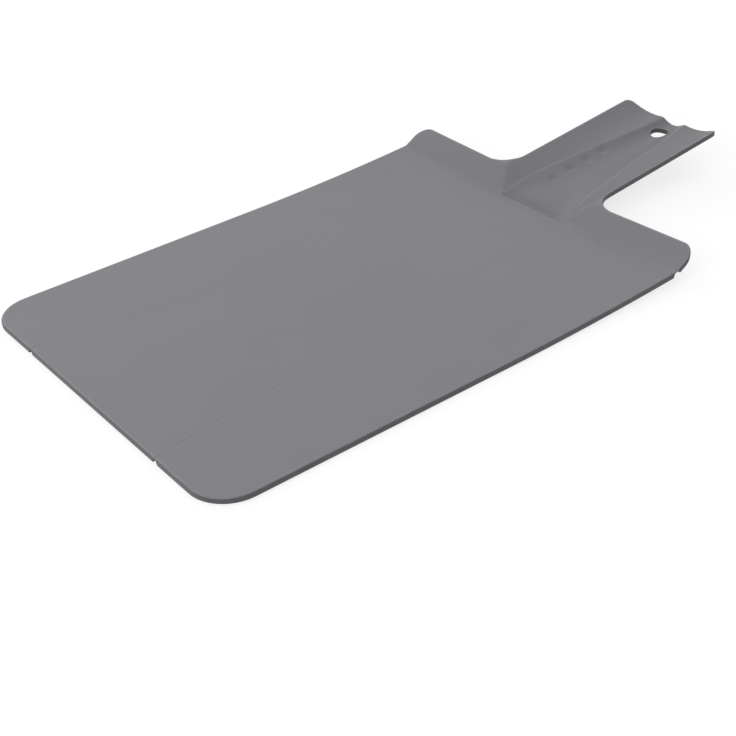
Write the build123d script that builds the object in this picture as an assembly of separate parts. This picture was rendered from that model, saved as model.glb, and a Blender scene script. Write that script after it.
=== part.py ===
from build123d import *
import math
import os

# Folding chopping board, moulded in one piece: a flat board of three panels, a raised rear rim
# and a channel-shaped handle, joined by living hinges. Squeezing the handle wings together folds
# the two sides up into a chute. +Y runs along the board towards the handle, +X is the right-hand
# side, +Z is up. The origin lies under the middle of the part, on the surface it rests on.

# Overall sizes
overall_length = 386.4
board_width = 212.0
board_length = 274.5
plate = 3.0
front_corner_radius = 20.0

# Fold lines of the board, as distances from the middle
front_crease_half = 58.7
root_half_width = 23.8

# Raised rear rim behind the cross fold
rim_run = 11.0
rim_rise = 9.9
rim_corner_rise = 12.1
rim_corner_radius = 8.5
fold_sweep = 3.4

# Upward curl of each side's rear outer corner
curl_length = 116.0
curl_rise = 3.7

# Handle
wing_half_width = 33.6
neck_radius = 13.6
neck_rise_share = 0.15
tip_radius = 5.0
end_bow = 2.2
ridge_end_half = 7.8
ridge_lift = 4.0
ridge_end_rise = 16.0
ramp_run = 26.0
wing_end_rise = 21.5
spine_dish = 2.9
spine_root_dish = 0.9
wing_dish_share = 0.089
wing_root_dish_share = 0.012

# Living hinges: widths across the fold, thickness of the web and bevel of the groove under it
side_web_width = 2.0
cross_web_width = 3.0
handle_web_width = 2.8
web_thickness = 0.6
groove_bevel = 0.9
root_web_drop = 1.0

# Rounded upper edge of the board, broken upper edge of the handle and rim
board_edge_radius = 1.0
handle_edge_break = 0.5

# Hanging hole in the handle spine
hang_hole_radius = 5.1
hang_hole_inset = 12.5

# Non-slip feet, seated in pockets under the board
foot_radius = 6.0
foot_stand = 0.8
foot_pocket = 0.8
foot_clearance = 0.1
foot_edge_break = 0.3
foot_front_inset = 31.0
foot_crease_inset = 14.4
foot_rear_inset = 44.0
foot_side_inset = 23.0
foot_curl_inset = 34.0
foot_side_rear_inset = 76.0

# Cross-sections drawn along the handle's ramp, along its grip and across the raised rim
ramp_steps = 5
grip_steps = 8
curl_steps = 6

# Overrun of every cutting block past what it cuts, and how near an edge must lie to the outline
overrun = 30.0
edge_tolerance = 0.05

# Places that follow from the sizes
front_y = -overall_length / 2
end_y = overall_length / 2
fold_y = front_y + board_length
neck_y = fold_y + rim_run
handle_length = end_y - fold_y
side_x = board_width / 2
under_z = foot_stand
top_z = under_z + plate
floor_cut = -overrun
sky_cut = top_z + wing_end_rise + overrun
station_margin = cross_web_width / 4


def ridge_x(y):
    """Distance of the handle crease from the middle at a place along the handle."""
    share = (y - fold_y) / handle_length
    return root_half_width + (ridge_end_half - root_half_width) * share


def ridge_z(y):
    """Height of the handle crease: a short ramp behind the board, then a gentle straight rise."""
    share = (y - fold_y) / handle_length
    ramp_left_share = max(0.0, 1.0 - (y - fold_y) / ramp_run)
    rise = ridge_lift + (ridge_end_rise - ridge_lift) * share
    return top_z + rise - ridge_lift * ramp_left_share**2


def side_share(x):
    """Share of the way from the handle's root out to the board's side edge."""
    return max(0.0, (x - root_half_width) / (side_x - root_half_width))


def curl_lift(x):
    """How far the rear edge of a side panel is curled up at a distance from the middle."""
    return curl_rise * side_share(x) ** 2


def rear_fold_y(x, shift):
    """Place of the right rear fold, which leans forward outwards, moved back square to itself."""
    lean = math.atan2(fold_sweep, side_x - root_half_width)
    line_y = fold_y - fold_sweep * (x - root_half_width) / (side_x - root_half_width)
    return line_y + shift / math.cos(lean)


def crest_z(x):
    """Height of the raised rim's crest."""
    return top_z + rim_rise + (rim_corner_rise - rim_rise) * side_share(x)


def rim_z(x, y):
    """Height of the raised rear rim's top surface, which is nearly level behind its crest."""
    if y > neck_y:
        return crest_z(x) + neck_rise_share * (y - neck_y)
    foot_y = fold_y - fold_sweep * side_share(x)
    foot_z = top_z + curl_lift(x)
    return foot_z + (crest_z(x) - foot_z) * (y - foot_y) / (neck_y - foot_y)


def wing_edge_z(y):
    """Height of the handle wing's outer edge, which starts from the rim's crest."""
    share = (y - neck_y) / (end_y - neck_y)
    start_z = crest_z(wing_half_width)
    return start_z + (top_z + wing_end_rise - start_z) * share


def wing_slope(y):
    """Rise of the wing's top surface away from the crease, per unit of width."""
    if y <= neck_y:
        share = (y - fold_y) / rim_run
        crest_x = root_half_width + (wing_half_width - root_half_width) * share
        return (rim_z(crest_x, y) - ridge_z(y)) / (crest_x - ridge_x(y))
    return (wing_edge_z(y) - ridge_z(y)) / (wing_half_width - ridge_x(y))


def handle_top_z(x, y):
    """Height of the right wing's or the rim's top surface, leaving out the wing's dish."""
    return min(rim_z(x, y), ridge_z(y) + wing_slope(y) * (x - ridge_x(y)))


def grip_share(y):
    """Share of the handle's length behind the ramp, from 0 to 1."""
    return min(1.0, max(0.0, (y - fold_y - ramp_run) / (handle_length - ramp_run)))


def crease_x(y, shift):
    """Distance of the right long crease from the middle, moved out square to itself by shift."""
    lean = math.atan2(front_crease_half - root_half_width, board_length)
    share = (y - front_y) / board_length
    line_x = front_crease_half + (root_half_width - front_crease_half) * share
    return line_x + shift / math.cos(lean)


def handle_crease_x(y, shift):
    """Distance of the right handle crease from the middle, moved out square to itself by shift."""
    lean = math.atan2(root_half_width - ridge_end_half, handle_length)
    return ridge_x(y) + shift / math.cos(lean)


def handle_stations():
    """Places along the handle where its cross-sections are drawn."""
    places = [fold_y + station_margin]
    for count in range(1, ramp_steps):
        places.append(fold_y + ramp_run * count / ramp_steps)
    for count in range(grip_steps):
        places.append(fold_y + ramp_run + (handle_length - ramp_run) * count / grip_steps)
    places.append(end_y + station_margin)
    return places


def rim_stations():
    """Distances from the middle where the raised rim's sections are drawn."""
    reach = side_x + overrun - root_half_width
    places = [root_half_width + reach * count / curl_steps for count in range(curl_steps + 1)]
    return [0.0] + places


def right_outline():
    """Plan outline of the right half of the moulding, from the front edge to the handle's end."""
    corner_x = side_x - front_corner_radius
    corner_y = front_y + front_corner_radius
    rim_corner_x = side_x - rim_corner_radius
    rim_corner_y = neck_y - rim_corner_radius
    neck_x = wing_half_width + neck_radius
    wing_start_y = neck_y + neck_radius
    bow_radius = (wing_half_width**2 + end_bow**2) / (2 * end_bow)
    bow_reach = bow_radius - tip_radius
    tip_x = wing_half_width - tip_radius
    tip_y = end_y - bow_radius + math.sqrt(bow_reach**2 - tip_x**2)
    bow_x = tip_x * bow_radius / bow_reach
    bow_y = end_y - bow_radius + math.sqrt(bow_radius**2 - bow_x**2)
    return [
        Line((0, front_y), (corner_x, front_y)),
        RadiusArc((corner_x, front_y), (side_x, corner_y), -front_corner_radius),
        Line((side_x, corner_y), (side_x, rim_corner_y)),
        RadiusArc((side_x, rim_corner_y), (rim_corner_x, neck_y), -rim_corner_radius),
        Line((rim_corner_x, neck_y), (neck_x, neck_y)),
        RadiusArc((neck_x, neck_y), (wing_half_width, wing_start_y), neck_radius),
        Line((wing_half_width, wing_start_y), (wing_half_width, tip_y)),
        RadiusArc((wing_half_width, tip_y), (bow_x, bow_y), -tip_radius),
        RadiusArc((bow_x, bow_y), (0, end_y), -bow_radius),
        Line((0, end_y), (0, front_y)),
    ]


def quad(low_range, high_range, low_y, high_y):
    """Plan outline of four straight sides, given the x range at its low and high ends."""
    return Polyline(
        (low_range[0], low_y),
        (low_range[1], low_y),
        (high_range[1], high_y),
        (high_range[0], high_y),
        close=True,
    )


def fold_strip(low_x, high_x, low_shift, high_shift):
    """Plan outline of a strip beside the right rear fold, between two distances from the fold."""
    return Polyline(
        (low_x, rear_fold_y(low_x, low_shift)),
        (high_x, rear_fold_y(high_x, low_shift)),
        (high_x, rear_fold_y(high_x, high_shift)),
        (low_x, rear_fold_y(low_x, high_shift)),
        close=True,
    )


def column(outline):
    """Tall upright column with the given plan outline."""
    face = make_face(outline)
    return Pos(0, 0, floor_cut) * extrude(face, amount=sky_cut - floor_cut, dir=(0, 0, 1))


def slab(outline, low_z, thickness):
    """Flat slab with the given plan outline."""
    return Pos(0, 0, low_z) * extrude(make_face(outline), amount=thickness, dir=(0, 0, 1))


def layer(block, depth):
    """The topmost part of a block, down to a depth measured straight down."""
    return block - Pos(0, 0, -depth) * block


def lofted(sections):
    """Solid lofted straight from each closed cross-section to the next."""
    return Part() + Solid.make_loft([Wire(edges) for edges in sections], ruled=True)


def mirrored(piece):
    """The same piece on the left side."""
    return mirror(piece, about=Plane.YZ)


def spine_section(y):
    """Cross-section of the handle spine's block: a shallow trough between the two creases."""
    half = ridge_x(y)
    crest = ridge_z(y)
    ramp_share = min(1.0, (y - fold_y) / ramp_run)
    dish = spine_root_dish + (spine_dish - spine_root_dish) * ramp_share
    left_top = (-half, y, crest)
    right_top = (half, y, crest)
    return [
        Edge.make_line((-half, y, floor_cut), left_top),
        Edge.make_three_point_arc(left_top, (0, y, crest - dish), right_top),
        Edge.make_line(right_top, (half, y, floor_cut)),
        Edge.make_line((half, y, floor_cut), (-half, y, floor_cut)),
    ]


def wing_section(y):
    """Cross-section of the right handle wing's block: a dished slope up from the crease."""
    inner_x = ridge_x(y)
    inner_z = ridge_z(y)
    slope = wing_slope(y)
    width = wing_half_width - inner_x
    dish = width * (wing_root_dish_share + (wing_dish_share - wing_root_dish_share) * grip_share(y))
    far_x = side_x + overrun
    inner = (inner_x, y, inner_z)
    middle = (inner_x + width / 2, y, inner_z + slope * width / 2 - dish)
    outer = (wing_half_width, y, inner_z + slope * width)
    far = (far_x, y, inner_z + slope * (far_x - inner_x))
    return [
        Edge.make_line((inner_x, y, floor_cut), inner),
        Edge.make_three_point_arc(inner, middle, outer),
        Edge.make_line(outer, far),
        Edge.make_line(far, (far_x, y, floor_cut)),
        Edge.make_line((far_x, y, floor_cut), (inner_x, y, floor_cut)),
    ]


def board_side():
    """Everything in front of the right rear fold's web."""
    return column(fold_strip(0, side_x + overrun, -overall_length, -cross_web_width / 2))


def handle_side():
    """Everything behind the right rear fold's web."""
    return column(fold_strip(0, side_x + overrun, cross_web_width / 2, overall_length))


def rim_section(x):
    """Fore-and-aft section of the rear rim's block at a distance from the middle."""
    low_z = floor_cut - overrun
    points = [(x, y, rim_z(x, y)) for y in (fold_y - overrun, neck_y, end_y + overrun)]
    corners = [(x, fold_y - overrun, low_z)] + points + [(x, end_y + overrun, low_z)]
    return [Edge.make_line(corners[i - 1], corners[i]) for i in range(len(corners))]


def spine_block():
    """Block under the handle spine."""
    return lofted([spine_section(y) for y in handle_stations()])


def wing_block():
    """Block under the right handle wing and the rim's inner end, meeting in a soft ridge."""
    sections = [wing_section(y) for y in handle_stations()]
    front_section = [Pos(0, -overrun, 0) * edge for edge in sections[0]]
    return lofted([front_section] + sections) & rim_block()


def rim_block():
    """Block under the raised rear rim."""
    return lofted([rim_section(x) for x in rim_stations()])


def curl_block():
    """Block under a side panel: flat, then curling up behind a slanting line."""
    start = Vector(side_x, fold_y - curl_length)
    finish = Vector(root_half_width, fold_y)
    along = (finish - start).normalized()
    outward = Vector(along.Y, -along.X)
    reach = (Vector(side_x, fold_y - fold_sweep) - start).dot(outward)
    radius = reach**2 / (2 * curl_rise)
    far = 2 * reach
    reach_z = top_z + radius - math.sqrt(radius**2 - reach**2)
    far_z = top_z + radius - math.sqrt(radius**2 - far**2)
    profile_plane = Plane(origin=start - along * board_length, x_dir=outward, z_dir=along)
    up = profile_plane.y_dir.Z
    profile = [
        Line((-board_width, up * floor_cut), (-board_width, up * top_z)),
        Line((-board_width, up * top_z), (0, up * top_z)),
        ThreePointArc((0, up * top_z), (reach, up * reach_z), (far, up * far_z)),
        Line((far, up * far_z), (far, up * floor_cut)),
        Line((far, up * floor_cut), (-board_width, up * floor_cut)),
    ]
    face = profile_plane * make_face(profile)
    return extrude(face, amount=2 * board_length + board_width, dir=along)


def groove_section(centre, across, upper_z, web_width):
    """Section of the groove under a living hinge: open downwards, with bevelled lower edges."""
    top_half = web_width / 2
    low_half = top_half + groove_bevel
    roof_z = upper_z - web_thickness
    bevel_z = upper_z - plate
    low_z = bevel_z - overrun
    corners = [(-top_half, roof_z), (top_half, roof_z), (low_half, bevel_z), (low_half, low_z)]
    corners += [(-low_half, low_z), (-low_half, bevel_z)]
    points = [Vector(centre) + Vector(across) * offset + Vector(0, 0, z) for offset, z in corners]
    return [Edge.make_line(points[i - 1], points[i]) for i in range(len(points))]


def side_groove():
    """Groove under the right long crease."""
    across = Vector(board_length, front_crease_half - root_half_width).normalized()
    sections = []
    for y in (front_y - plate, fold_y + plate):
        sections.append(groove_section((crease_x(y, 0), y), across, top_z, side_web_width))
    return lofted(sections)


def cross_groove():
    """Groove under the right cross fold, following the curl of the side panel."""
    across = Vector(fold_sweep, side_x - root_half_width).normalized()
    sections = []
    for x in rim_stations()[1:]:
        upper_z = top_z + curl_lift(x)
        sections.append(groove_section((x, rear_fold_y(x, 0)), across, upper_z, cross_web_width))
    return lofted(sections)


def root_groove():
    """Groove under the fold between the board and the handle spine."""
    upper_z = top_z - root_web_drop
    half = root_half_width + plate
    sections = []
    for x in (-half, half):
        sections.append(groove_section((x, fold_y), (0, 1), upper_z, cross_web_width))
    return lofted(sections)


def handle_groove():
    """Groove under the right handle crease."""
    sections = []
    for y in handle_stations():
        sections.append(groove_section((ridge_x(y), y), (1, 0), ridge_z(y), handle_web_width))
    return lofted(sections)


def centre_foot_places():
    """Where the feet of the middle panel stand, each as far from the long crease."""
    places = []
    for side in (-1, 1):
        for y in (front_y + foot_front_inset, fold_y - foot_rear_inset):
            places.append((side * (crease_x(y, 0) - foot_crease_inset), y))
    return places


def side_foot_places():
    """Where the feet of the right side panel stand."""
    return [
        (side_x - foot_side_inset, front_y + foot_front_inset),
        (side_x - foot_curl_inset, fold_y - foot_side_rear_inset),
    ]


def foot(x, y):
    """Round non-slip foot, seated in its pocket and standing out under the board."""
    low = (Align.CENTER, Align.CENTER, Align.MIN)
    pad = Pos(x, y, 0) * Cylinder(foot_radius, foot_stand + foot_pocket, align=low)
    return chamfer(pad.edges().group_by(Axis.Z)[0], foot_edge_break)


def pocket(x, y):
    """Pocket for a foot in the board's underside."""
    low = (Align.CENTER, Align.CENTER, Align.MIN)
    return Pos(x, y, under_z) * Cylinder(foot_radius + foot_clearance, foot_pocket, align=low)


def is_upright(edge):
    """Whether an edge stands straight up."""
    start, finish = edge.position_at(0), edge.position_at(1)
    return math.hypot(finish.X - start.X, finish.Y - start.Y) < edge_tolerance


def on_board_outline(edge):
    """Whether a top edge of the board lies along its front, front corner or side."""
    on_top = edge.bounding_box().min.Z > top_z - web_thickness and not is_upright(edge)
    middle = edge.position_at(0.5)
    on_front = abs(middle.Y - front_y) < edge_tolerance
    on_side = abs(middle.X) > side_x - edge_tolerance
    corner_x = side_x - front_corner_radius
    corner_y = front_y + front_corner_radius
    reach = math.hypot(abs(middle.X) - corner_x, middle.Y - corner_y)
    past_corner = abs(middle.X) > corner_x and middle.Y < corner_y
    on_corner = past_corner and abs(reach - front_corner_radius) < edge_tolerance
    return on_top and (on_front or on_side or on_corner)


def softened(piece):
    """Round the board's outer top edges."""
    return fillet(piece.edges().filter_by(on_board_outline), board_edge_radius)


def centre_panel():
    """Middle panel of the board, which carries the handle spine."""
    rear_y = fold_y - cross_web_width / 2
    front_half = crease_x(front_y, -side_web_width / 2)
    rear_half = crease_x(rear_y, -side_web_width / 2)
    outline = quad((-front_half, front_half), (-rear_half, rear_half), front_y, rear_y)
    panel = softened(slab(outline, under_z, plate))
    panel -= side_groove()
    panel -= mirrored(side_groove())
    panel -= root_groove()
    for x, y in centre_foot_places():
        panel -= pocket(x, y)
    return panel


def side_panel():
    """Right side panel, flat in front and curled up at its rear outer corner."""
    far_x = side_x + overrun
    front_range = (crease_x(front_y, side_web_width / 2), far_x)
    rear_range = (crease_x(fold_y, side_web_width / 2), far_x)
    region = column(quad(front_range, rear_range, front_y, fold_y)) & board_side()
    panel = softened(layer(curl_block(), plate) & region & column(right_outline()))
    panel -= side_groove()
    panel -= cross_groove()
    for x, y in side_foot_places():
        panel -= pocket(x, y)
    return panel


def outline_edges(piece):
    """Top edges of the right wing and rim that lie along the plan outline."""
    border = Wire([part.edge() for part in right_outline()])
    chosen = []
    for edge in piece.edges():
        points = [edge.position_at(share) for share in (0, 0.5, 1)]
        reaches = [border.distance_to(Vector(point.X, point.Y)) for point in points]
        middle = points[1]
        over_wall = middle.Z > handle_top_z(middle.X, middle.Y) - plate / 2
        if max(reaches) < edge_tolerance and over_wall and not is_upright(edge):
            chosen.append(edge)
    return chosen


def wing_panel():
    """Right handle wing with the stretch of raised rim that grows out of it."""
    near_y = fold_y - overrun
    far_x = side_x + overrun
    near_range = (handle_crease_x(near_y, handle_web_width / 2), far_x)
    end_range = (handle_crease_x(end_y, handle_web_width / 2), far_x)
    region = column(quad(near_range, end_range, near_y, end_y)) & handle_side()
    panel = layer(wing_block(), plate) & region & column(right_outline())
    panel = chamfer(outline_edges(panel), handle_edge_break)
    panel -= handle_groove()
    panel -= cross_groove()
    return panel


def handle_spine():
    """Trough-shaped spine of the handle, with its hanging hole."""
    near_y = fold_y + cross_web_width / 2
    near_half = handle_crease_x(near_y, -handle_web_width / 2)
    end_half = handle_crease_x(end_y, -handle_web_width / 2)
    region = column(quad((-near_half, near_half), (-end_half, end_half), near_y, end_y))
    right_half = column(right_outline())
    spine = layer(spine_block(), plate) & region & (right_half + mirrored(right_half))
    spine -= handle_groove()
    spine -= mirrored(handle_groove())
    spine -= root_groove()
    hole = Cylinder(hang_hole_radius, sky_cut - floor_cut)
    spine -= Pos(0, end_y - hang_hole_inset, (floor_cut + sky_cut) / 2) * hole
    return spine


def side_hinge():
    """Thin web along the right long crease."""
    half = side_web_width / 2
    front_range = (crease_x(front_y, -half), crease_x(front_y, half))
    rear_range = (crease_x(fold_y, -half), crease_x(fold_y, half))
    strip = quad(front_range, rear_range, front_y, fold_y)
    return slab(strip, top_z - web_thickness, web_thickness) & board_side()


def cross_hinge():
    """Thin web along the right cross fold, between the side panel and the raised rim."""
    half = cross_web_width / 2
    inner_x = root_half_width - handle_web_width / 2
    board_strip = column(fold_strip(inner_x, side_x, -half, 0))
    rim_strip = column(fold_strip(inner_x, side_x, 0, half))
    board_half = layer(curl_block(), web_thickness) & board_strip
    rim_half = layer(rim_block(), web_thickness) & rim_strip
    return board_half + rim_half


def root_hinge():
    """Thin web between the board and the handle spine, sunk below the board's top."""
    half = cross_web_width / 2
    side = root_half_width - handle_web_width / 2
    strip = quad((-side, side), (-side, side), fold_y - half, fold_y + half)
    return slab(strip, top_z - root_web_drop - web_thickness, web_thickness)


def handle_hinge():
    """Thin web along the right handle crease."""
    near_y = fold_y + cross_web_width / 2
    half = handle_web_width / 2
    near_inner = (handle_crease_x(near_y, -half), ridge_x(near_y))
    end_inner = (handle_crease_x(end_y, -half), ridge_x(end_y))
    near_outer = (ridge_x(near_y), handle_crease_x(near_y, half))
    end_outer = (ridge_x(end_y), handle_crease_x(end_y, half))
    inner_strip = column(quad(near_inner, end_inner, near_y, end_y))
    outer_strip = column(quad(near_outer, end_outer, near_y, end_y))
    inner_half = layer(spine_block(), web_thickness) & inner_strip
    outer_half = layer(wing_block(), web_thickness) & outer_strip
    return (inner_half + outer_half) & column(right_outline())


pieces = {
    "centre_panel": centre_panel(),
    "right_side_panel": side_panel(),
    "right_handle_wing": wing_panel(),
    "handle_spine": handle_spine(),
    "right_side_hinge": side_hinge(),
    "right_rear_hinge": cross_hinge(),
    "right_handle_hinge": handle_hinge(),
    "root_hinge": root_hinge(),
}
for row, (x, y) in zip(("front", "rear"), side_foot_places()):
    pieces[f"right_{row}_foot"] = foot(x, y)
for name, piece in list(pieces.items()):
    if name.startswith("right_"):
        pieces[name.replace("right_", "left_", 1)] = mirrored(piece)
for place, (x, y) in zip(("left_front", "left_rear", "right_front", "right_rear"), centre_foot_places()):
    pieces[f"centre_{place}_foot"] = foot(x, y)

os.makedirs("parts", exist_ok=True)
for name, piece in pieces.items():
    export_step(piece, os.path.join("parts", name + ".step"))
    print(name, round(piece.volume, 1), len(piece.solids()))
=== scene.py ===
import logging
import math
from dataclasses import dataclass, field
from enum import Enum

import bmesh
import bpy
import numpy as np
from mathutils import Matrix, Vector
from mathutils.geometry import delaunay_2d_cdt


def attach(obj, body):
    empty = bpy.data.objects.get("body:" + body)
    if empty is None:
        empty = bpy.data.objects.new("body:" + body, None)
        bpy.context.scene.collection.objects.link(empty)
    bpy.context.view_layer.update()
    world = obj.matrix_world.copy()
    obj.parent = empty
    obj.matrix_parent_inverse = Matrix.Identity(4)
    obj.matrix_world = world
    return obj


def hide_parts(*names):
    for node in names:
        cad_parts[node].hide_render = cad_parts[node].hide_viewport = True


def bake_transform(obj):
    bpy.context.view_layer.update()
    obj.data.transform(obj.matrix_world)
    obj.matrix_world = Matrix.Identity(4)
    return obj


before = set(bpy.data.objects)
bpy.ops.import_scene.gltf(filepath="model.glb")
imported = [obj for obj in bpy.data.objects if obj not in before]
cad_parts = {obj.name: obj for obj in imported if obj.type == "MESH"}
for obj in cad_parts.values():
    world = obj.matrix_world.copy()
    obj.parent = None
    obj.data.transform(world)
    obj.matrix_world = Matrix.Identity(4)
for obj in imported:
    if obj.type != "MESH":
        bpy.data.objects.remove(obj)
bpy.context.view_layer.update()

# Dress of a folding chopping board, moulded in one piece of grey polypropylene. Every panel is
# remade here with rounded edges around its own solid, every living hinge is remade as a thin web
# between the two panels that it joins, and the feet are remade as soft rubber. Sizes are in
# millimetres until a mesh is written; +Y runs along the board towards the handle. HAIR and NUDGE
# are lengths too small to show, and TOLERANCE is a rounding error that is allowed for.

MM = 0.001
HAIR = 1e-6
NUDGE = 1e-4
TOLERANCE = 1e-7
NEARLY_PARALLEL = 0.01

log = logging.getLogger("chopping_board")

Point = tuple[float, float]
Point3 = tuple[float, float, float]
Colour = tuple[float, float, float, float]
Row = list[tuple[Point, float, float]]


class Side(Enum):
    """The two sides of the board, each with the sign of its x."""

    LEFT = -1
    RIGHT = 1

    @property
    def word(self) -> str:
        """Name of the side, as the nodes write it."""
        return self.name.lower()


class EdgeKind(Enum):
    """How a panel ends at one stretch of its outline."""

    RIM = "rounded outer rim"
    FOLD = "bevelled groove wall beside a living hinge"
    STEP = "softened step down to the sunk root fold"
    BORE = "rounded mouth of the hanging hole"


def clipped(share: float) -> float:
    """A share, kept between 0 and 1."""
    return min(1.0, max(0.0, share))


def ease(share: float) -> float:
    """Smooth step from 0 to 1 of a clipped share."""
    held = clipped(share)
    return held * held * (3.0 - 2.0 * held)


@dataclass(frozen=True)
class BoardForm:
    """Sizes of the board and the rules of its upper surface, in millimetres."""

    overall_length: float = 386.4
    board_width: float = 212.0
    board_length: float = 274.5
    plate: float = 3.0
    under_z: float = 0.8
    front_corner_radius: float = 20.0
    front_crease_half: float = 58.7
    root_half_width: float = 23.8
    rim_run: float = 11.0
    rim_rise: float = 9.9
    rim_corner_rise: float = 12.1
    rim_corner_radius: float = 8.5
    fold_sweep: float = 3.4
    curl_length: float = 116.0
    curl_rise: float = 3.7
    wing_half_width: float = 33.6
    neck_radius: float = 13.6
    neck_rise_share: float = 0.15
    tip_radius: float = 5.0
    end_bow: float = 2.2
    ridge_end_half: float = 7.8
    ridge_lift: float = 4.0
    ridge_end_rise: float = 16.0
    ramp_run: float = 26.0
    wing_end_rise: float = 21.5
    spine_dish: float = 2.9
    spine_root_dish: float = 1.5
    wing_dish_share: float = 0.089
    wing_root_dish_share: float = 0.012
    side_web_half: float = 1.0
    cross_web_half: float = 1.5
    handle_web_half: float = 1.4
    web_thickness: float = 0.6
    root_sink: float = 1.25
    hole_radius: float = 5.1
    hole_inset: float = 12.5
    kink_reach: float = 1.0
    root_kink_reach: float = 0.6
    end_kink_reach: float = 1.5
    ridge_blend: float = 0.7
    root_shoulder_power: float = 8.0
    kink_middle: float = 0.4
    root_web_run: float = 2.6
    fold_round_start: float = 1.0
    fold_round_run: float = 2.5
    curl_probe: float = 0.5
    blend_start: float = 1.0
    blend_run: float = 6.0
    dimple_radius: float = 4.2
    dimple_depth: float = 0.7
    dimple_x: float = -10.5
    dimple_places: tuple[float, ...] = (106.8, 120.3, 132.8, 145.6)

    @property
    def front_y(self) -> float:
        """Place of the board's front edge."""
        return -self.overall_length / 2

    @property
    def end_y(self) -> float:
        """Place of the handle's end."""
        return self.overall_length / 2

    @property
    def fold_y(self) -> float:
        """Place of the cross fold between the board and what stands up behind it."""
        return self.front_y + self.board_length

    @property
    def neck_y(self) -> float:
        """Place of the raised rim's rear edge."""
        return self.fold_y + self.rim_run

    @property
    def side_x(self) -> float:
        """Distance of the board's side edge from the middle."""
        return self.board_width / 2

    @property
    def top_z(self) -> float:
        """Height of the flat board's upper surface."""
        return self.under_z + self.plate

    @property
    def grip_length(self) -> float:
        """Length of the handle behind the cross fold."""
        return self.end_y - self.fold_y

    @property
    def bow_radius(self) -> float:
        """Radius of the handle's gently bowed end."""
        return (self.wing_half_width**2 + self.end_bow**2) / (2.0 * self.end_bow)

    @property
    def ridge_end_y(self) -> float:
        """Place where the handle creases meet the bowed end."""
        return self.end_line(self.ridge_end_half)

    def end_line(self, x: float) -> float:
        """Place of the bowed end at a distance from the middle."""
        return self.end_y - self.bow_radius + math.sqrt(self.bow_radius**2 - x**2)

    def fold_line(self, x: float) -> float:
        """Place of the rear fold, which leans forward outwards from the root."""
        return self.fold_y - self.fold_sweep * self.side_share(x)

    def side_share(self, x: float) -> float:
        """How far out a place lies, from 0 at the root's corner to 1 at the side edge."""
        return max(0.0, (x - self.root_half_width) / (self.side_x - self.root_half_width))

    @property
    def crease_lean(self) -> float:
        """Angle of the long creases off the board's length, in plan."""
        return math.atan2(self.front_crease_half - self.root_half_width, self.board_length)

    @property
    def ridge_lean(self) -> float:
        """Angle of the handle creases off the board's length, in plan."""
        return math.atan2(self.root_half_width - self.ridge_end_half, self.grip_length)

    def crease_x(self, y: float, shift: float = 0.0) -> float:
        """Distance of the long crease from the middle, moved out square to itself by shift.

        Args:
            y: Place along the board.
            shift: How far the line is moved out.

        Returns:
            Distance from the middle.
        """
        share = (y - self.front_y) / self.board_length
        line = self.front_crease_half + (self.root_half_width - self.front_crease_half) * share
        return line + shift / math.cos(self.crease_lean)

    def ridge_x(self, y: float, shift: float = 0.0) -> float:
        """Distance of the handle crease from the middle, moved out square to itself by shift.

        Args:
            y: Place along the board.
            shift: How far the line is moved out.

        Returns:
            Distance from the middle.
        """
        share = (y - self.fold_y) / self.grip_length
        line = self.root_half_width + (self.ridge_end_half - self.root_half_width) * share
        return line + shift / math.cos(self.ridge_lean)

    def ridge_z(self, y: float) -> float:
        """Height of the handle crease.

        Args:
            y: Place along the board.

        Returns:
            Height above the resting surface.
        """
        share = (y - self.fold_y) / self.grip_length
        ramp_left = max(0.0, 1.0 - (y - self.fold_y) / self.ramp_run)
        rise = self.ridge_lift + (self.ridge_end_rise - self.ridge_lift) * share
        return self.top_z + rise - self.ridge_lift * ramp_left**2

    def curl(self, x: float, y: float) -> float:
        """Lift of a side panel's curled rear corner above the flat board.

        Args:
            x: Place across, from the middle.
            y: Place along the board.

        Returns:
            The lift.
        """
        across = self.side_x - self.root_half_width
        length = math.hypot(across, self.curl_length)
        out_x, out_y = self.curl_length / length, across / length
        reach = self.curl_length * across / length - self.fold_sweep * out_y
        away = (x - self.root_half_width) * out_x + (y - self.fold_y) * out_y
        if away <= 0.0:
            return 0.0
        radius = reach**2 / (2 * self.curl_rise)
        return radius - math.sqrt(radius**2 - away**2)

    def crest_z(self, x: float) -> float:
        """Height of the raised rim's crest."""
        rise = self.rim_rise + (self.rim_corner_rise - self.rim_rise) * self.side_share(x)
        return self.top_z + rise

    def rim_slope(self, x: float) -> float:
        """Fore-and-aft slope of the raised rim."""
        foot_y = self.fold_line(x)
        return (self.crest_z(x) - self.top_z - self.curl(x, foot_y)) / (self.neck_y - foot_y)

    def rim_z(self, x: float, y: float) -> float:
        """Height of the raised rim's upper surface, nearly level behind its crest."""
        slope = self.rim_slope(x) if y < self.neck_y else self.neck_rise_share
        return self.crest_z(x) + slope * (y - self.neck_y)

    def wing_slope(self, y: float) -> float:
        """Rise of a wing's upper surface away from its crease, per unit of width.

        Args:
            y: Place along the board.

        Returns:
            The slope.
        """
        if y <= self.neck_y:
            share = (y - self.fold_y) / self.rim_run
            crest_x = self.root_half_width + (self.wing_half_width - self.root_half_width) * share
            run = crest_x - self.ridge_x(y)
            if abs(run) < TOLERANCE:
                return self.wing_slope(y + NUDGE)
            return (self.rim_z(crest_x, y) - self.ridge_z(y)) / run
        share = (y - self.neck_y) / (self.end_y - self.neck_y)
        start = self.crest_z(self.wing_half_width)
        edge = start + (self.top_z + self.wing_end_rise - start) * share
        return (edge - self.ridge_z(y)) / (self.wing_half_width - self.ridge_x(y))

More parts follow.
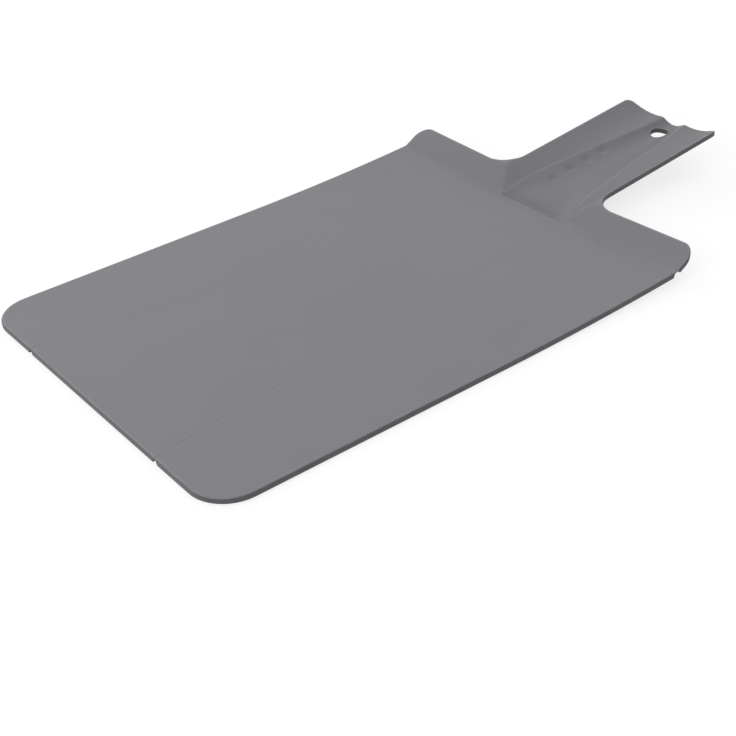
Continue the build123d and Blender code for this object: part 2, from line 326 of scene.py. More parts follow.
    def wing_dish(self, y: float) -> float:
        """Depth of a wing's dish at the middle of its width.

        Args:
            y: Place along the board.

        Returns:
            The depth.
        """
        grip = clipped((y - self.fold_y - self.ramp_run) / (self.grip_length - self.ramp_run))
        gain = self.wing_dish_share - self.wing_root_dish_share
        share = self.wing_root_dish_share + gain * grip
        return share * (self.wing_half_width - self.ridge_x(y))

    def wing_z(self, x: float, y: float) -> float:
        """Height of a wing's dished upper surface.

        Args:
            x: Place across, from the middle.
            y: Place along the board.

        Returns:
            Height above the resting surface.
        """
        width = self.wing_half_width - self.ridge_x(y)
        out = (x - self.ridge_x(y)) / width
        hollow = 4.0 * self.wing_dish(y) * out * (1.0 - out) if out < 1.0 else 0.0
        return self.ridge_z(y) + self.wing_slope(y) * width * out - hollow

    def shoulder_power(self, y: float) -> float:
        """Power of the spine's trough: a flat floor with shoulders at the root, an arc behind."""
        left = 1.0 - ease((y - self.fold_y) / self.ramp_run)
        return 2.0 + (self.root_shoulder_power - 2.0) * left

    def spine_depth(self, y: float) -> float:
        """Depth of the spine's trough below its creases."""
        share = clipped((y - self.fold_y) / self.ramp_run)
        return self.spine_root_dish + (self.spine_dish - self.spine_root_dish) * share

    def spine_z(self, x: float, y: float) -> float:
        """Height of the spine's upper surface.

        Args:
            x: Place across, from the middle.
            y: Place along the board.

        Returns:
            Height above the resting surface.
        """
        out = min(1.0, abs(x) / self.ridge_x(y))
        depth = self.spine_depth(y) * (1.0 - out ** self.shoulder_power(y))
        return self.ridge_z(y) - depth

    def root_web_z(self, x: float, y: float) -> float:
        """Height of the sunk fold between the board and the spine.

        Args:
            x: Place across, from the middle.
            y: Place along the board.

        Returns:
            Height above the resting surface.
        """
        rear_y = self.fold_y + self.cross_web_half
        out = min(1.0, abs(x) / self.root_half_width)
        floor = self.top_z - self.root_sink * (1.0 - out**self.root_shoulder_power)
        share = clipped((y - rear_y + self.root_web_run) / self.root_web_run)
        return floor + (self.spine_z(x, rear_y) - floor) * share**2

    def ridge_reach(self, y: float) -> float:
        """Reach of the handle crease's round: crisp at the root, full at the handle's end.

        Args:
            y: Place along the board.

        Returns:
            Reach to either side.
        """
        share, middle = clipped((y - self.fold_y) / self.grip_length), self.kink_middle
        if share < middle:
            gain = self.kink_reach - self.root_kink_reach
            return self.root_kink_reach + gain * share / middle
        gain = self.end_kink_reach - self.kink_reach
        return self.kink_reach + gain * (share - middle) / (1.0 - middle)

    @staticmethod
    def kink(offset: float, slope_before: float, slope_after: float, reach: float) -> float:
        """What softens a crease of two slopes into a round.

        Args:
            offset: Distance from the crease line.
            slope_before: Slope of the surface before the line.
            slope_after: Slope of the surface behind it.
            reach: How far the round reaches to either side.

        Returns:
            Height to add to the creased surface.
        """
        left = max(0.0, reach - abs(offset))
        return (slope_after - slope_before) / (4.0 * reach) * left**2

    def dimples(self, x: float, y: float) -> float:
        """Depth of the row of shallow dimples on the spine.

        Args:
            x: Place across, from the middle.
            y: Place along the board.

        Returns:
            Depth below the spine.
        """
        for place in self.dimple_places:
            away = math.hypot(x - self.dimple_x, y - place) / self.dimple_radius
            if away < 1.0:
                return self.dimple_depth * (1.0 - away**2) ** 2
        return 0.0

    def upper_z(self, x: float, y: float) -> float:
        """Height of the moulding's upper surface anywhere in its plan.

        Args:
            x: Place across, negative on the left.
            y: Place along.

        Returns:
            Height above the resting surface.
        """
        out = abs(x)
        line = self.fold_line(out)
        inner = self.crease_x(y) if y < line else self.ridge_x(y)
        beside = ease((out - self.root_half_width + self.fold_round_start) / self.fold_round_run)
        lift = self.curl(out, line) - self.curl(out, line - self.curl_probe)
        curl_slope, rim_slope = lift / self.curl_probe, self.rim_slope(out)
        fold_round = beside * self.kink(y - line, curl_slope, rim_slope, self.kink_reach)
        if y <= line:
            if out <= inner and y > self.fold_y - self.cross_web_half:
                if out < self.crease_x(y, -self.side_web_half):
                    return self.root_web_z(x, y)
            return self.top_z + self.curl(out, y) + fold_round
        offset = (out - inner) * math.cos(self.ridge_lean)
        before = self.spine_depth(y) * self.shoulder_power(y) / self.ridge_x(y)
        width = self.wing_half_width - self.ridge_x(y)
        after = self.wing_slope(y) - 4.0 * self.wing_dish(y) / width
        crest_round = self.kink(offset, before, after, self.ridge_reach(y))
        if out <= inner:
            if y < self.fold_y + self.cross_web_half and offset < -self.handle_web_half:
                return self.root_web_z(x, y)
            return self.spine_z(x, y) + crest_round - self.dimples(x, y)
        rim, wing = self.rim_z(out, y), self.wing_z(out, y)
        grown = ease((y - self.fold_y - self.blend_start) / self.blend_run)
        blend = self.ridge_blend * grown + HAIR
        near = max(0.0, blend - abs(rim - wing)) / blend
        return min(rim, wing) - near * near * blend / 4.0 + crest_round + fold_round


@dataclass(frozen=True)
class EdgeProfile:
    """Profile of a panel's edges from its upper to its lower face, in millimetres."""

    thickness: float = 3.0
    rim_round: float = 1.0
    lower_round: float = 0.35
    step_round: float = 0.4
    bore_round: float = 0.35
    web_depth: float = 0.6
    step_depth: float = 1.6
    groove_bevel: float = 0.9
    # Depths over which the side walls take on their painted shade.
    wall_start: float = 0.05
    wall_run: float = 0.5
    # Place and width of the painted highlight along the upper round of rounded edges.
    highlight_depth: float = 0.12
    highlight_sharpness: float = 18.0
    round_steps: int = 6

    def depths(self) -> list[float]:
        """Depths below the upper face at which the outline is drawn.

        Returns:
            The depths, from the top down.
        """
        quarter = math.pi / 2
        turns = [quarter * count / self.round_steps for count in range(self.round_steps + 1)]
        upper = [self.rim_round * (1.0 - math.cos(turn)) for turn in turns]
        lower = [self.thickness - self.lower_round * (1.0 - math.cos(turn)) for turn in turns[::2]]
        joins = [self.web_depth, self.step_depth]
        return sorted(set(round(depth, 5) for depth in upper + joins + lower))

    def rounded(self, depth: float, upper: float) -> float:
        """Inset of an edge with a round above and a small round below.

        Args:
            depth: Depth below the upper face.
            upper: Radius of the round above.

        Returns:
            Distance into the panel.
        """
        if depth < upper:
            return upper - math.sqrt(upper**2 - (upper - depth) ** 2)
        into = depth - (self.thickness - self.lower_round)
        if into > 0.0:
            return self.lower_round - math.sqrt(max(0.0, self.lower_round**2 - into**2))
        return 0.0

    def inset(self, kind: EdgeKind, depth: float) -> float:
        """How far inside the outline an edge lies at a depth.

        Args:
            kind: Kind of the edge.
            depth: Depth below the upper face.

        Returns:
            Distance into the panel.
        """
        if kind is EdgeKind.RIM:
            return self.rounded(depth, self.rim_round)
        if kind is EdgeKind.BORE:
            return self.rounded(depth, self.bore_round)
        start = self.step_depth if kind is EdgeKind.STEP else self.web_depth
        slant = self.groove_bevel * max(0.0, depth - start) / (self.thickness - start)
        if kind is EdgeKind.STEP and depth < self.step_round:
            return self.step_round - math.sqrt(self.step_round**2 - (self.step_round - depth) ** 2)
        return slant


@dataclass
class Outline:
    """Closed plan outline: anticlockwise round a panel, clockwise round a hole in it."""

    points: list[Point] = field(default_factory=list)
    kinds: list[EdgeKind] = field(default_factory=list)

    def run(self, points: list[Point], kind: EdgeKind) -> None:
        """Add a run of points whose edges, from each to the next, are of one kind.

        Args:
            points: The points in plan.
            kind: Kind of the edges that leave them.
        """
        for point in points:
            if self.points and math.dist(self.points[-1], point) < HAIR:
                self.kinds[-1] = kind
                continue
            self.points.append(point)
            self.kinds.append(kind)

    @classmethod
    def of(cls, *runs: tuple[list[Point], EdgeKind]) -> "Outline":
        """Closed outline of several runs; a last point that repeats the first is dropped.

        Args:
            runs: Points of each run and the kind of its edges.

        Returns:
            The closed outline.
        """
        self = cls()
        for points, kind in runs:
            self.run(points, kind)
        if math.dist(self.points[0], self.points[-1]) < HAIR:
            self.points.pop()
            self.kinds.pop()
        return self

    def moved_in(self, insets: list[float]) -> list[Point]:
        """The outline's corners after each edge has moved into the panel by its own inset.

        Args:
            insets: One distance for each edge.

        Returns:
            The moved corners.
        """
        moved = []
        count = len(self.points)
        for index, point in enumerate(self.points):
            last, following = self.points[index - 1], self.points[(index + 1) % count]
            before = Vector((last[1] - point[1], point[0] - last[0])).normalized()
            after = Vector((point[1] - following[1], following[0] - point[0])).normalized()
            near, far = insets[index - 1], insets[index]
            cross = before.x * after.y - before.y * after.x
            if abs(cross) < NEARLY_PARALLEL:
                middle = (before + after).normalized()
                step = middle * ((near + far) / 2.0 / middle.dot(before))
            else:
                step = Vector((near * after.y - far * before.y, far * before.x - near * after.x))
                step /= cross
            moved.append((point[0] + step.x, point[1] + step.y))
        return moved


def arc(centre: Point, radius: float, start: float, finish: float, steps: int) -> list[Point]:
    """Points along an arc.

    Args:
        centre: Middle of the arc.
        radius: Its radius.
        start: Angle of its first point in degrees.
        finish: Angle of its last point in degrees.
        steps: Number of edges.

    Returns:
        The points, one more than the edges.
    """
    turns = [math.radians(start + (finish - start) * count / steps) for count in range(steps + 1)]
    middle_x, middle_y = centre
    return [(middle_x + radius * math.cos(t), middle_y + radius * math.sin(t)) for t in turns]


def between(start: Point, finish: Point, step: float) -> list[Point]:
    """Points along a straight line, no further apart than a step.

    Args:
        start: Where it starts.
        finish: Where it ends.
        step: Longest gap between points.

    Returns:
        The points, both ends among them.
    """
    count = max(1, math.ceil(math.dist(start, finish) / step - HAIR))
    (x, y), across, along = start, finish[0] - start[0], finish[1] - start[1]
    shares = [index / count for index in range(count + 1)]
    return [(x + across * share, y + along * share) for share in shares]


def stations(start: float, finish: float, step: float, first: float, last: float) -> list[float]:
    """Places between two ends, with a first and a last gap that leave room for rounded edges.

    Args:
        start: Where it starts.
        finish: Where it ends.
        step: Longest gap between points.
        first: Gap behind the start.
        last: Gap before the end.

    Returns:
        The places, both ends among them.
    """
    count = max(1, math.ceil((finish - last - start - first) / step))
    run = finish - last - start - first
    inner = [start + first + run * index / count for index in range(count + 1)]
    return [start] + inner + [finish]


def inside(points: np.ndarray, loops: list[list[Point]]) -> np.ndarray:
    """Whether points lie in the plan area that a set of loops bounds, by the even-odd rule.

    Args:
        points: The points in plan.
        loops: The closed loops.

    Returns:
        One answer for each point.
    """
    found = np.zeros(len(points), bool)
    for loop in loops:
        corners = np.array(loop)
        following = np.roll(corners, -1, axis=0)
        for (x0, y0), (x1, y1) in zip(corners, following):
            if y0 == y1:
                continue
            crosses = (points[:, 1] > y0) != (points[:, 1] > y1)
            at = (x1 - x0) * (points[:, 1] - y0) / (y1 - y0) + x0
            found ^= crosses & (points[:, 0] < at)
    return found


def clearance(points: np.ndarray, loops: list[list[Point]]) -> np.ndarray:
    """Distance of each point from the nearest edge of a set of loops.

    Args:
        points: The points in plan.
        loops: The closed loops.

    Returns:
        One distance for each point.
    """
    nearest = np.full(len(points), np.inf)
    for loop in loops:
        corners = np.array(loop)
        following = np.roll(corners, -1, axis=0)
        for start, finish in zip(corners, following):
            along = finish - start
            share = np.clip(((points - start) @ along) / (along @ along), 0.0, 1.0)
            away = np.linalg.norm(points - (start + share[:, None] * along), axis=1)
            nearest = np.minimum(nearest, away)
    return nearest


@dataclass
class Shell:
    """A closed mesh while it grows: corners, faces, each corner's painted highlight and depth."""

    corners: list[Point3] = field(default_factory=list)
    faces: list[tuple[int, ...]] = field(default_factory=list)
    rim: list[float] = field(default_factory=list)
    wall: list[float] = field(default_factory=list)

    def add(self, corners: list[Point3], wall: float = 0.0) -> list[int]:
        """Add corners and give their numbers.

        Args:
            corners: Places of the corners.
            wall: How far they belong to the side wall, from 0 to 1.

        Returns:
            Their numbers.
        """
        start = len(self.corners)
        self.corners += corners
        self.rim += [0.0] * len(corners)
        self.wall += [wall] * len(corners)
        return list(range(start, len(self.corners)))

    def band(self, lower: list[int], upper: list[int]) -> None:
        """Faces between two closed rings of the same length, lower and upper.

        Args:
            lower: Corner numbers of the lower ring.
            upper: Corner numbers of the upper ring.
        """
        count = len(lower)
        for index in range(count):
            following = (index + 1) % count
            self.faces.append((lower[index], lower[following], upper[following], upper[index]))

    def cap(self, rings: list[list[int]], inner: list[int], faces_up: bool) -> None:
        """Fill the plan area between rings with triangles over loose corners.

        Args:
            rings: Corner numbers of each boundary loop.
            inner: Corner numbers of the loose corners inside.
            faces_up: Whether the filled face looks up.
        """
        numbers = [number for ring in rings for number in ring] + inner
        flat = [Vector(self.corners[number][:2]) for number in numbers]
        edges, start = [], 0
        for ring in rings:
            edges += [(start + i, start + (i + 1) % len(ring)) for i in range(len(ring))]
            start += len(ring)
        found = delaunay_2d_cdt(flat, edges, [], 0, TOLERANCE, True)
        names = [numbers[source[0]] for source in found[3]]
        named = [tuple(names[index] for index in face) for face in found[2]]
        border = {frozenset((numbers[near], numbers[far])) for near, far in edges}
        for face, keep in zip(named, self.within(named, border)):
            if keep:
                self.faces.append(face if faces_up else tuple(reversed(face)))

    @staticmethod
    def within(faces: list[tuple[int, ...]], border: set[frozenset]) -> list[bool]:
        """Which triangles lie inside a border, worked out from face to face over shared edges.

        Args:
            faces: Triangles that fill the border's convex hull.
            border: The edges of the border's loops.

        Returns:
            One answer for each triangle.
        """
        sharing: dict[frozenset, list[int]] = {}
        for number, face in enumerate(faces):
            for index in range(3):
                sharing.setdefault(frozenset((face[index - 1], face[index])), []).append(number)
        known: dict[int, bool] = {}
        waiting = []
        for edge, owners in sharing.items():
            if len(owners) == 1 and owners[0] not in known:
                known[owners[0]] = edge in border
                waiting.append(owners[0])
        while waiting:
            number = waiting.pop()
            face = faces[number]
            for index in range(3):
                edge = frozenset((face[index - 1], face[index]))
                for other in sharing[edge]:
                    if other not in known:
                        known[other] = known[number] != (edge in border)
                        waiting.append(other)
        return [known.get(number, False) for number in range(len(faces))]


@dataclass
class PanelMaker:
    """Makes closed panels with rounded rims from plan outlines and the form's upper surface."""

    form: BoardForm
    profile: EdgeProfile
    grid_clear: float = 0.45
    grid_apart: float = 0.5
    extra_clear: float = 0.15
    guard_round: float = 0.45
    guard_other: float = 0.6
    pocket_steps: int = 48
    pocket_rings: tuple[Point, ...] = ((6.35, 3.0), (6.22, 2.9), (6.2, 2.75), (6.2, 2.2))

    def heights(self, points: list[Point], depth: float) -> list[Point3]:
        """Points of the plan, set at a depth below the upper surface."""
        return [(x, y, self.form.upper_z(x, y) - depth) for x, y in points]

    def loose(self, loops: list[list[Point]], step: float, extra: list[Point]) -> list[Point]:
        """Grid points inside the loops, with extra points where the surface turns.

        Args:
            loops: Boundary loops in plan.
            step: Grid step.
            extra: Points to put in before the grid.

        Returns:
            Points that stand clear of the loops and of each other.
        """
        outer = np.array(loops[0])
        low, high = outer.min(0), outer.max(0)
        columns = np.arange(low[0] + step / 2, high[0], step)
        rows = np.arange(low[1] + step / 2, high[1], step)
        grid = np.array([(x, y) for y in rows for x in columns])
        kept = grid[inside(grid, loops)]
        kept = kept[clearance(kept, loops) > self.grid_clear * step]
        if extra:
            added = np.array(extra)
            added = added[inside(added, loops)]
            added = added[clearance(added, loops) > self.extra_clear]
            kept = kept[self.apart(kept, added, self.grid_apart * step)]
            kept = np.concatenate([added, kept])
        return [tuple(point) for point in kept.tolist()]

    @staticmethod
    def apart(points: np.ndarray, others: np.ndarray, least: float) -> np.ndarray:
        """Whether each point stands at least a distance from every one of some others.

        Args:
            points: The points in plan.
            others: The other points.
            least: The least distance along either axis.

        Returns:
            One answer for each point.
        """
        far = np.ones(len(points), bool)
        for other in others:
            far &= np.abs(points - other).max(1) > least
        return far

    def guard(self, outline: Outline, kinds: tuple[EdgeKind, ...]) -> list[Point]:
        """A row of points just inside the rounded edges, which keeps their shading tight.

        Args:
            outline: The outline.
            kinds: The kinds that count as rounded.

        Returns:
            The row of points.
        """
        gaps = [self.guard_round if kind in kinds else self.guard_other for kind in outline.kinds]
        insets = [self.profile.inset(kind, 0.0) + gap for kind, gap in zip(outline.kinds, gaps)]
        last = outline.kinds[-1:] + outline.kinds[:-1]
        rows = zip(outline.moved_in(insets), outline.kinds, last)
        return [point for point, after, before in rows if after in kinds and before in kinds]

    def panel(
        self, outlines: list[Outline], step: float, lower_step: float, pockets: list[Point]
    ) -> Shell:
        """Closed panel between the upper surface and its copy below.

        Args:
            outlines: The panel's outline, then any holes in it.
            step: Grid step of the upper face.
            lower_step: Grid step of the lower face.
            pockets: Middles of the feet's pockets in the lower face.

        Returns:
            The panel's shell.
        """
        shell = Shell()
        depths = self.profile.depths()
        rounded = (EdgeKind.RIM, EdgeKind.BORE)
        uppers, lowers = [], []
        for outline in outlines:
            rings = []
            for depth in depths:
                insets = [self.profile.inset(kind, depth) for kind in outline.kinds]
                # How far each ring belongs to the side wall, which the material darkens as painted
                # shade.
                wall = ease((depth - self.profile.wall_start) / self.profile.wall_run)
                rings.append(shell.add(self.heights(outline.moved_in(insets), depth), wall))
            for upper, lower in zip(rings, rings[1:]):
                shell.band(lower, upper)
            for depth, ring in zip(depths, rings):
                # Painted highlight: a thin lighter band along the upper round of the rims and the
                # hole's mouth.
                off = depth / self.profile.rim_round - self.profile.highlight_depth
                highlit = math.exp(-(off**2) * self.profile.highlight_sharpness)
                for index, number in enumerate(ring):
                    if outline.kinds[index] in rounded or outline.kinds[index - 1] in rounded:
                        shell.rim[number] = highlit
            uppers.append(rings[0])
            lowers.append(rings[-1])
        loops = [[shell.corners[number][:2] for number in ring] for ring in uppers]
        extra = [point for outline in outlines for point in self.guard(outline, rounded)]
        inner = shell.add(self.heights(self.loose(loops, step, extra), 0.0))
        shell.cap(uppers, inner, True)
        lowers += [self.pocket(shell, place) for place in pockets]
        loops = [[shell.corners[number][:2] for number in ring] for ring in lowers]
        deep = self.profile.thickness
        inner = shell.add(self.heights(self.loose(loops, lower_step, []), deep))
        shell.cap(lowers, inner, False)
        return shell

    def pocket(self, shell: Shell, place: Point) -> list[int]:
        """Sink one foot's round pocket into the lower face.

        Args:
            shell: Shell to add to.
            place: Middle of the pocket.

        Returns:
            Corner numbers of the pocket's mouth.
        """
        rings = []
        for radius, depth in self.pocket_rings:
            circle = arc(place, radius, 360.0, 0.0, self.pocket_steps)[:-1]
            rings.append(shell.add(self.heights(circle, depth)))
        for lower, upper in zip(rings, rings[1:]):
            shell.band(lower, upper)
        roof = rings[-1]
        middle = shell.add(self.heights([place], self.pocket_rings[-1][1]))[0]
        count = len(roof)
        shell.faces += [(roof[i], roof[(i + 1) % count], middle) for i in range(count)]
        return rings[0]


def linked(name: str, data: bpy.types.ID) -> bpy.types.Object:
    """Make an object and put it in the scene.

    Args:
        name: Name to give.
        data: What it shows.

    Returns:
        The new object.
    """
    made = bpy.data.objects.new(name, data)
    bpy.context.scene.collection.objects.link(made)
    return made


def mark(mesh: bpy.types.Mesh, **values: list[float]) -> None:
    """Write numbers on a mesh's corners, each list under its own name.

    Args:
        mesh: The mesh.
        values: The numbers, under their names.
    """
    for label, numbers in values.items():
        attribute = mesh.attributes.new(label, "FLOAT", "POINT")
        attribute.data.foreach_set("value", np.array(numbers, np.float32))


def soften(mesh: bpy.types.Mesh, sharp_degrees: float) -> None:
    """Shade a mesh smooth, and crisp where it turns by more than an angle.

    Args:
        mesh: The mesh.
        sharp_degrees: Edges that turn by more than this stay crisp.
    """
    work = bmesh.new()
    work.from_mesh(mesh)
    limit = math.radians(sharp_degrees)
    for face in work.faces:
        face.smooth = True
    for edge in work.edges:
        edge.smooth = edge.is_manifold and edge.calc_face_angle(0.0) < limit
    work.to_mesh(mesh)
    work.free()


def write_mesh(name: str, shell: Shell, sharp_degrees: float = 32.0) -> bpy.types.Object:
    """Write a shell as a mesh object in metres, smooth but for its real corners.

    Args:
        name: Name of the piece.
        shell: Corners in millimetres and faces.
        sharp_degrees: Edges that turn by more than this stay crisp.

    Returns:
        The new object, at the origin.
    """
    mesh = bpy.data.meshes.new(name)
    mesh.from_pydata([tuple(v * MM for v in corner) for corner in shell.corners], [], shell.faces)
    mark(mesh, rim=shell.rim, wall=shell.wall)
    soften(mesh, sharp_degrees)
    mesh.update()
    return linked(name, mesh)


def mirrored_shell(shell: Shell) -> Shell:
    """The same shell on the other side of the board, still facing outwards.

    Args:
        shell: A shell on the right.

    Returns:
        The mirror image.
    """
    corners = [(-x, y, z) for x, y, z in shell.corners]
    faces = [tuple(reversed(face)) for face in shell.faces]
    return Shell(corners, faces, list(shell.rim), list(shell.wall))


class Tree:
    """A node tree while it is built: adds nodes and joins them by socket names."""

    def __init__(self, tree: bpy.types.NodeTree) -> None:
        """Start on an empty tree."""
        self.tree = tree

    def node(self, kind: str, sockets: dict | None = None, **settings: object) -> bpy.types.Node:
        """Add a node.

        Args:
            kind: Type of the node.
            sockets: What feeds its inputs, by name or number: another socket or a value.
            settings: Properties of the node.

        Returns:
            The new node.
        """
        node = self.tree.nodes.new(kind)
        for name, value in settings.items():
            setattr(node, name, value)
        for key, value in (sockets or {}).items():
            self.feed(node.inputs[key], value)
        return node

    def feed(self, socket: bpy.types.NodeSocket, value: object) -> None:
        """Join a socket to another, or set its value.

        Args:
            socket: Input to feed.
            value: Another socket or a value.
        """
        if isinstance(value, bpy.types.NodeSocket):
            self.tree.links.new(value, socket)
        elif value is not None:
            socket.default_value = value

    def math(self, operation: str, *values: object) -> object:
        """A Math node's result."""
        return self.node("ShaderNodeMath", dict(enumerate(values)), operation=operation).outputs[0]

    def between(
        self, value: object, low: float, high: float, to_low: float, to_high: float
    ) -> object:
        """A value mapped from one range to another with soft ends.

        Args:
            value: The value to map.
            low: Lower end of the first range.
            high: Upper end of the first range.
            to_low: Value at the lower end.
            to_high: Value at the upper end.

        Returns:
            The mapped value.
        """
        sockets = {"Value": value, "From Min": low, "From Max": high}
        sockets |= {"To Min": to_low, "To Max": to_high}
        node = self.node("ShaderNodeMapRange", sockets, interpolation_type="SMOOTHSTEP")
        return node.outputs["Result"]


def blank(data: bpy.types.Material | bpy.types.World) -> Tree:
    """The emptied node tree of a material or a world.

    Args:
        data: The material or the world.

    Returns:
        The empty tree.
    """
    data.use_nodes = True
    data.node_tree.nodes.clear()
    return Tree(data.node_tree)


class ShaderGroup:
    """A shader node group with named inputs and outputs, built once and placed in materials."""

    def __init__(self, name: str, inputs: dict[str, float], *outputs: str) -> None:
        """Make the group's sockets.

        Args:
            name: Name of the group.
            inputs: Named number inputs with their usual values.
            outputs: Names of the number outputs.
        """
        self.group = bpy.data.node_groups.new(name, "ShaderNodeTree")
        face, kind = self.group.interface, "NodeSocketFloat"
        for label, value in inputs.items():
            face.new_socket(label, in_out="INPUT", socket_type=kind).default_value = value
        for label in outputs:
            face.new_socket(label, in_out="OUTPUT", socket_type=kind)
        self.tree = Tree(self.group)
        self.source = self.tree.node("NodeGroupInput")
        self.sink = self.tree.node("NodeGroupOutput")

    def given(self, label: str) -> bpy.types.NodeSocket:
        """The value of a named input inside the group."""
        return self.source.outputs[label]

    def put(self, label: str, value: object) -> None:
        """Send a value out."""
        self.tree.feed(self.sink.inputs[label], value)

    def place(self, tree: Tree, **values: float) -> bpy.types.Node:
        """Place the group in a material with its own values."""
        sockets = {label.capitalize(): value for label, value in values.items()}
        return tree.node("ShaderNodeGroup", sockets, node_tree=self.group)


def object_place(tree: Tree, stretch: Point3 = (1.0, 1.0, 1.0), turn: float = 0.0) -> object:
    """Object coordinates, stretched and turned about the upright.

    Args:
        tree: Tree to add to.
        stretch: Stretch along each axis.
        turn: Turn about the upright in radians.

    Returns:
        The place as a vector.
    """
    place = tree.node("ShaderNodeTexCoord").outputs["Object"]
    sockets = {"Vector": place, "Scale": stretch, "Rotation": (0.0, 0.0, turn)}
    return tree.node("ShaderNodeMapping", sockets).outputs["Vector"]


def noise(tree: Tree, place: object, scale: object, detail: float, rough: float = 0.5) -> object:
    """A noise texture's value."""
    sockets = {"Vector": place, "Scale": scale, "Detail": detail, "Roughness": rough}
    return tree.node("ShaderNodeTexNoise", sockets).outputs["Fac"]


def corner_number(tree: Tree, name: str) -> object:
    """A number that the mesh carries on its corners."""
    node = tree.node("ShaderNodeAttribute", attribute_type="GEOMETRY", attribute_name=name)
    return node.outputs["Fac"]


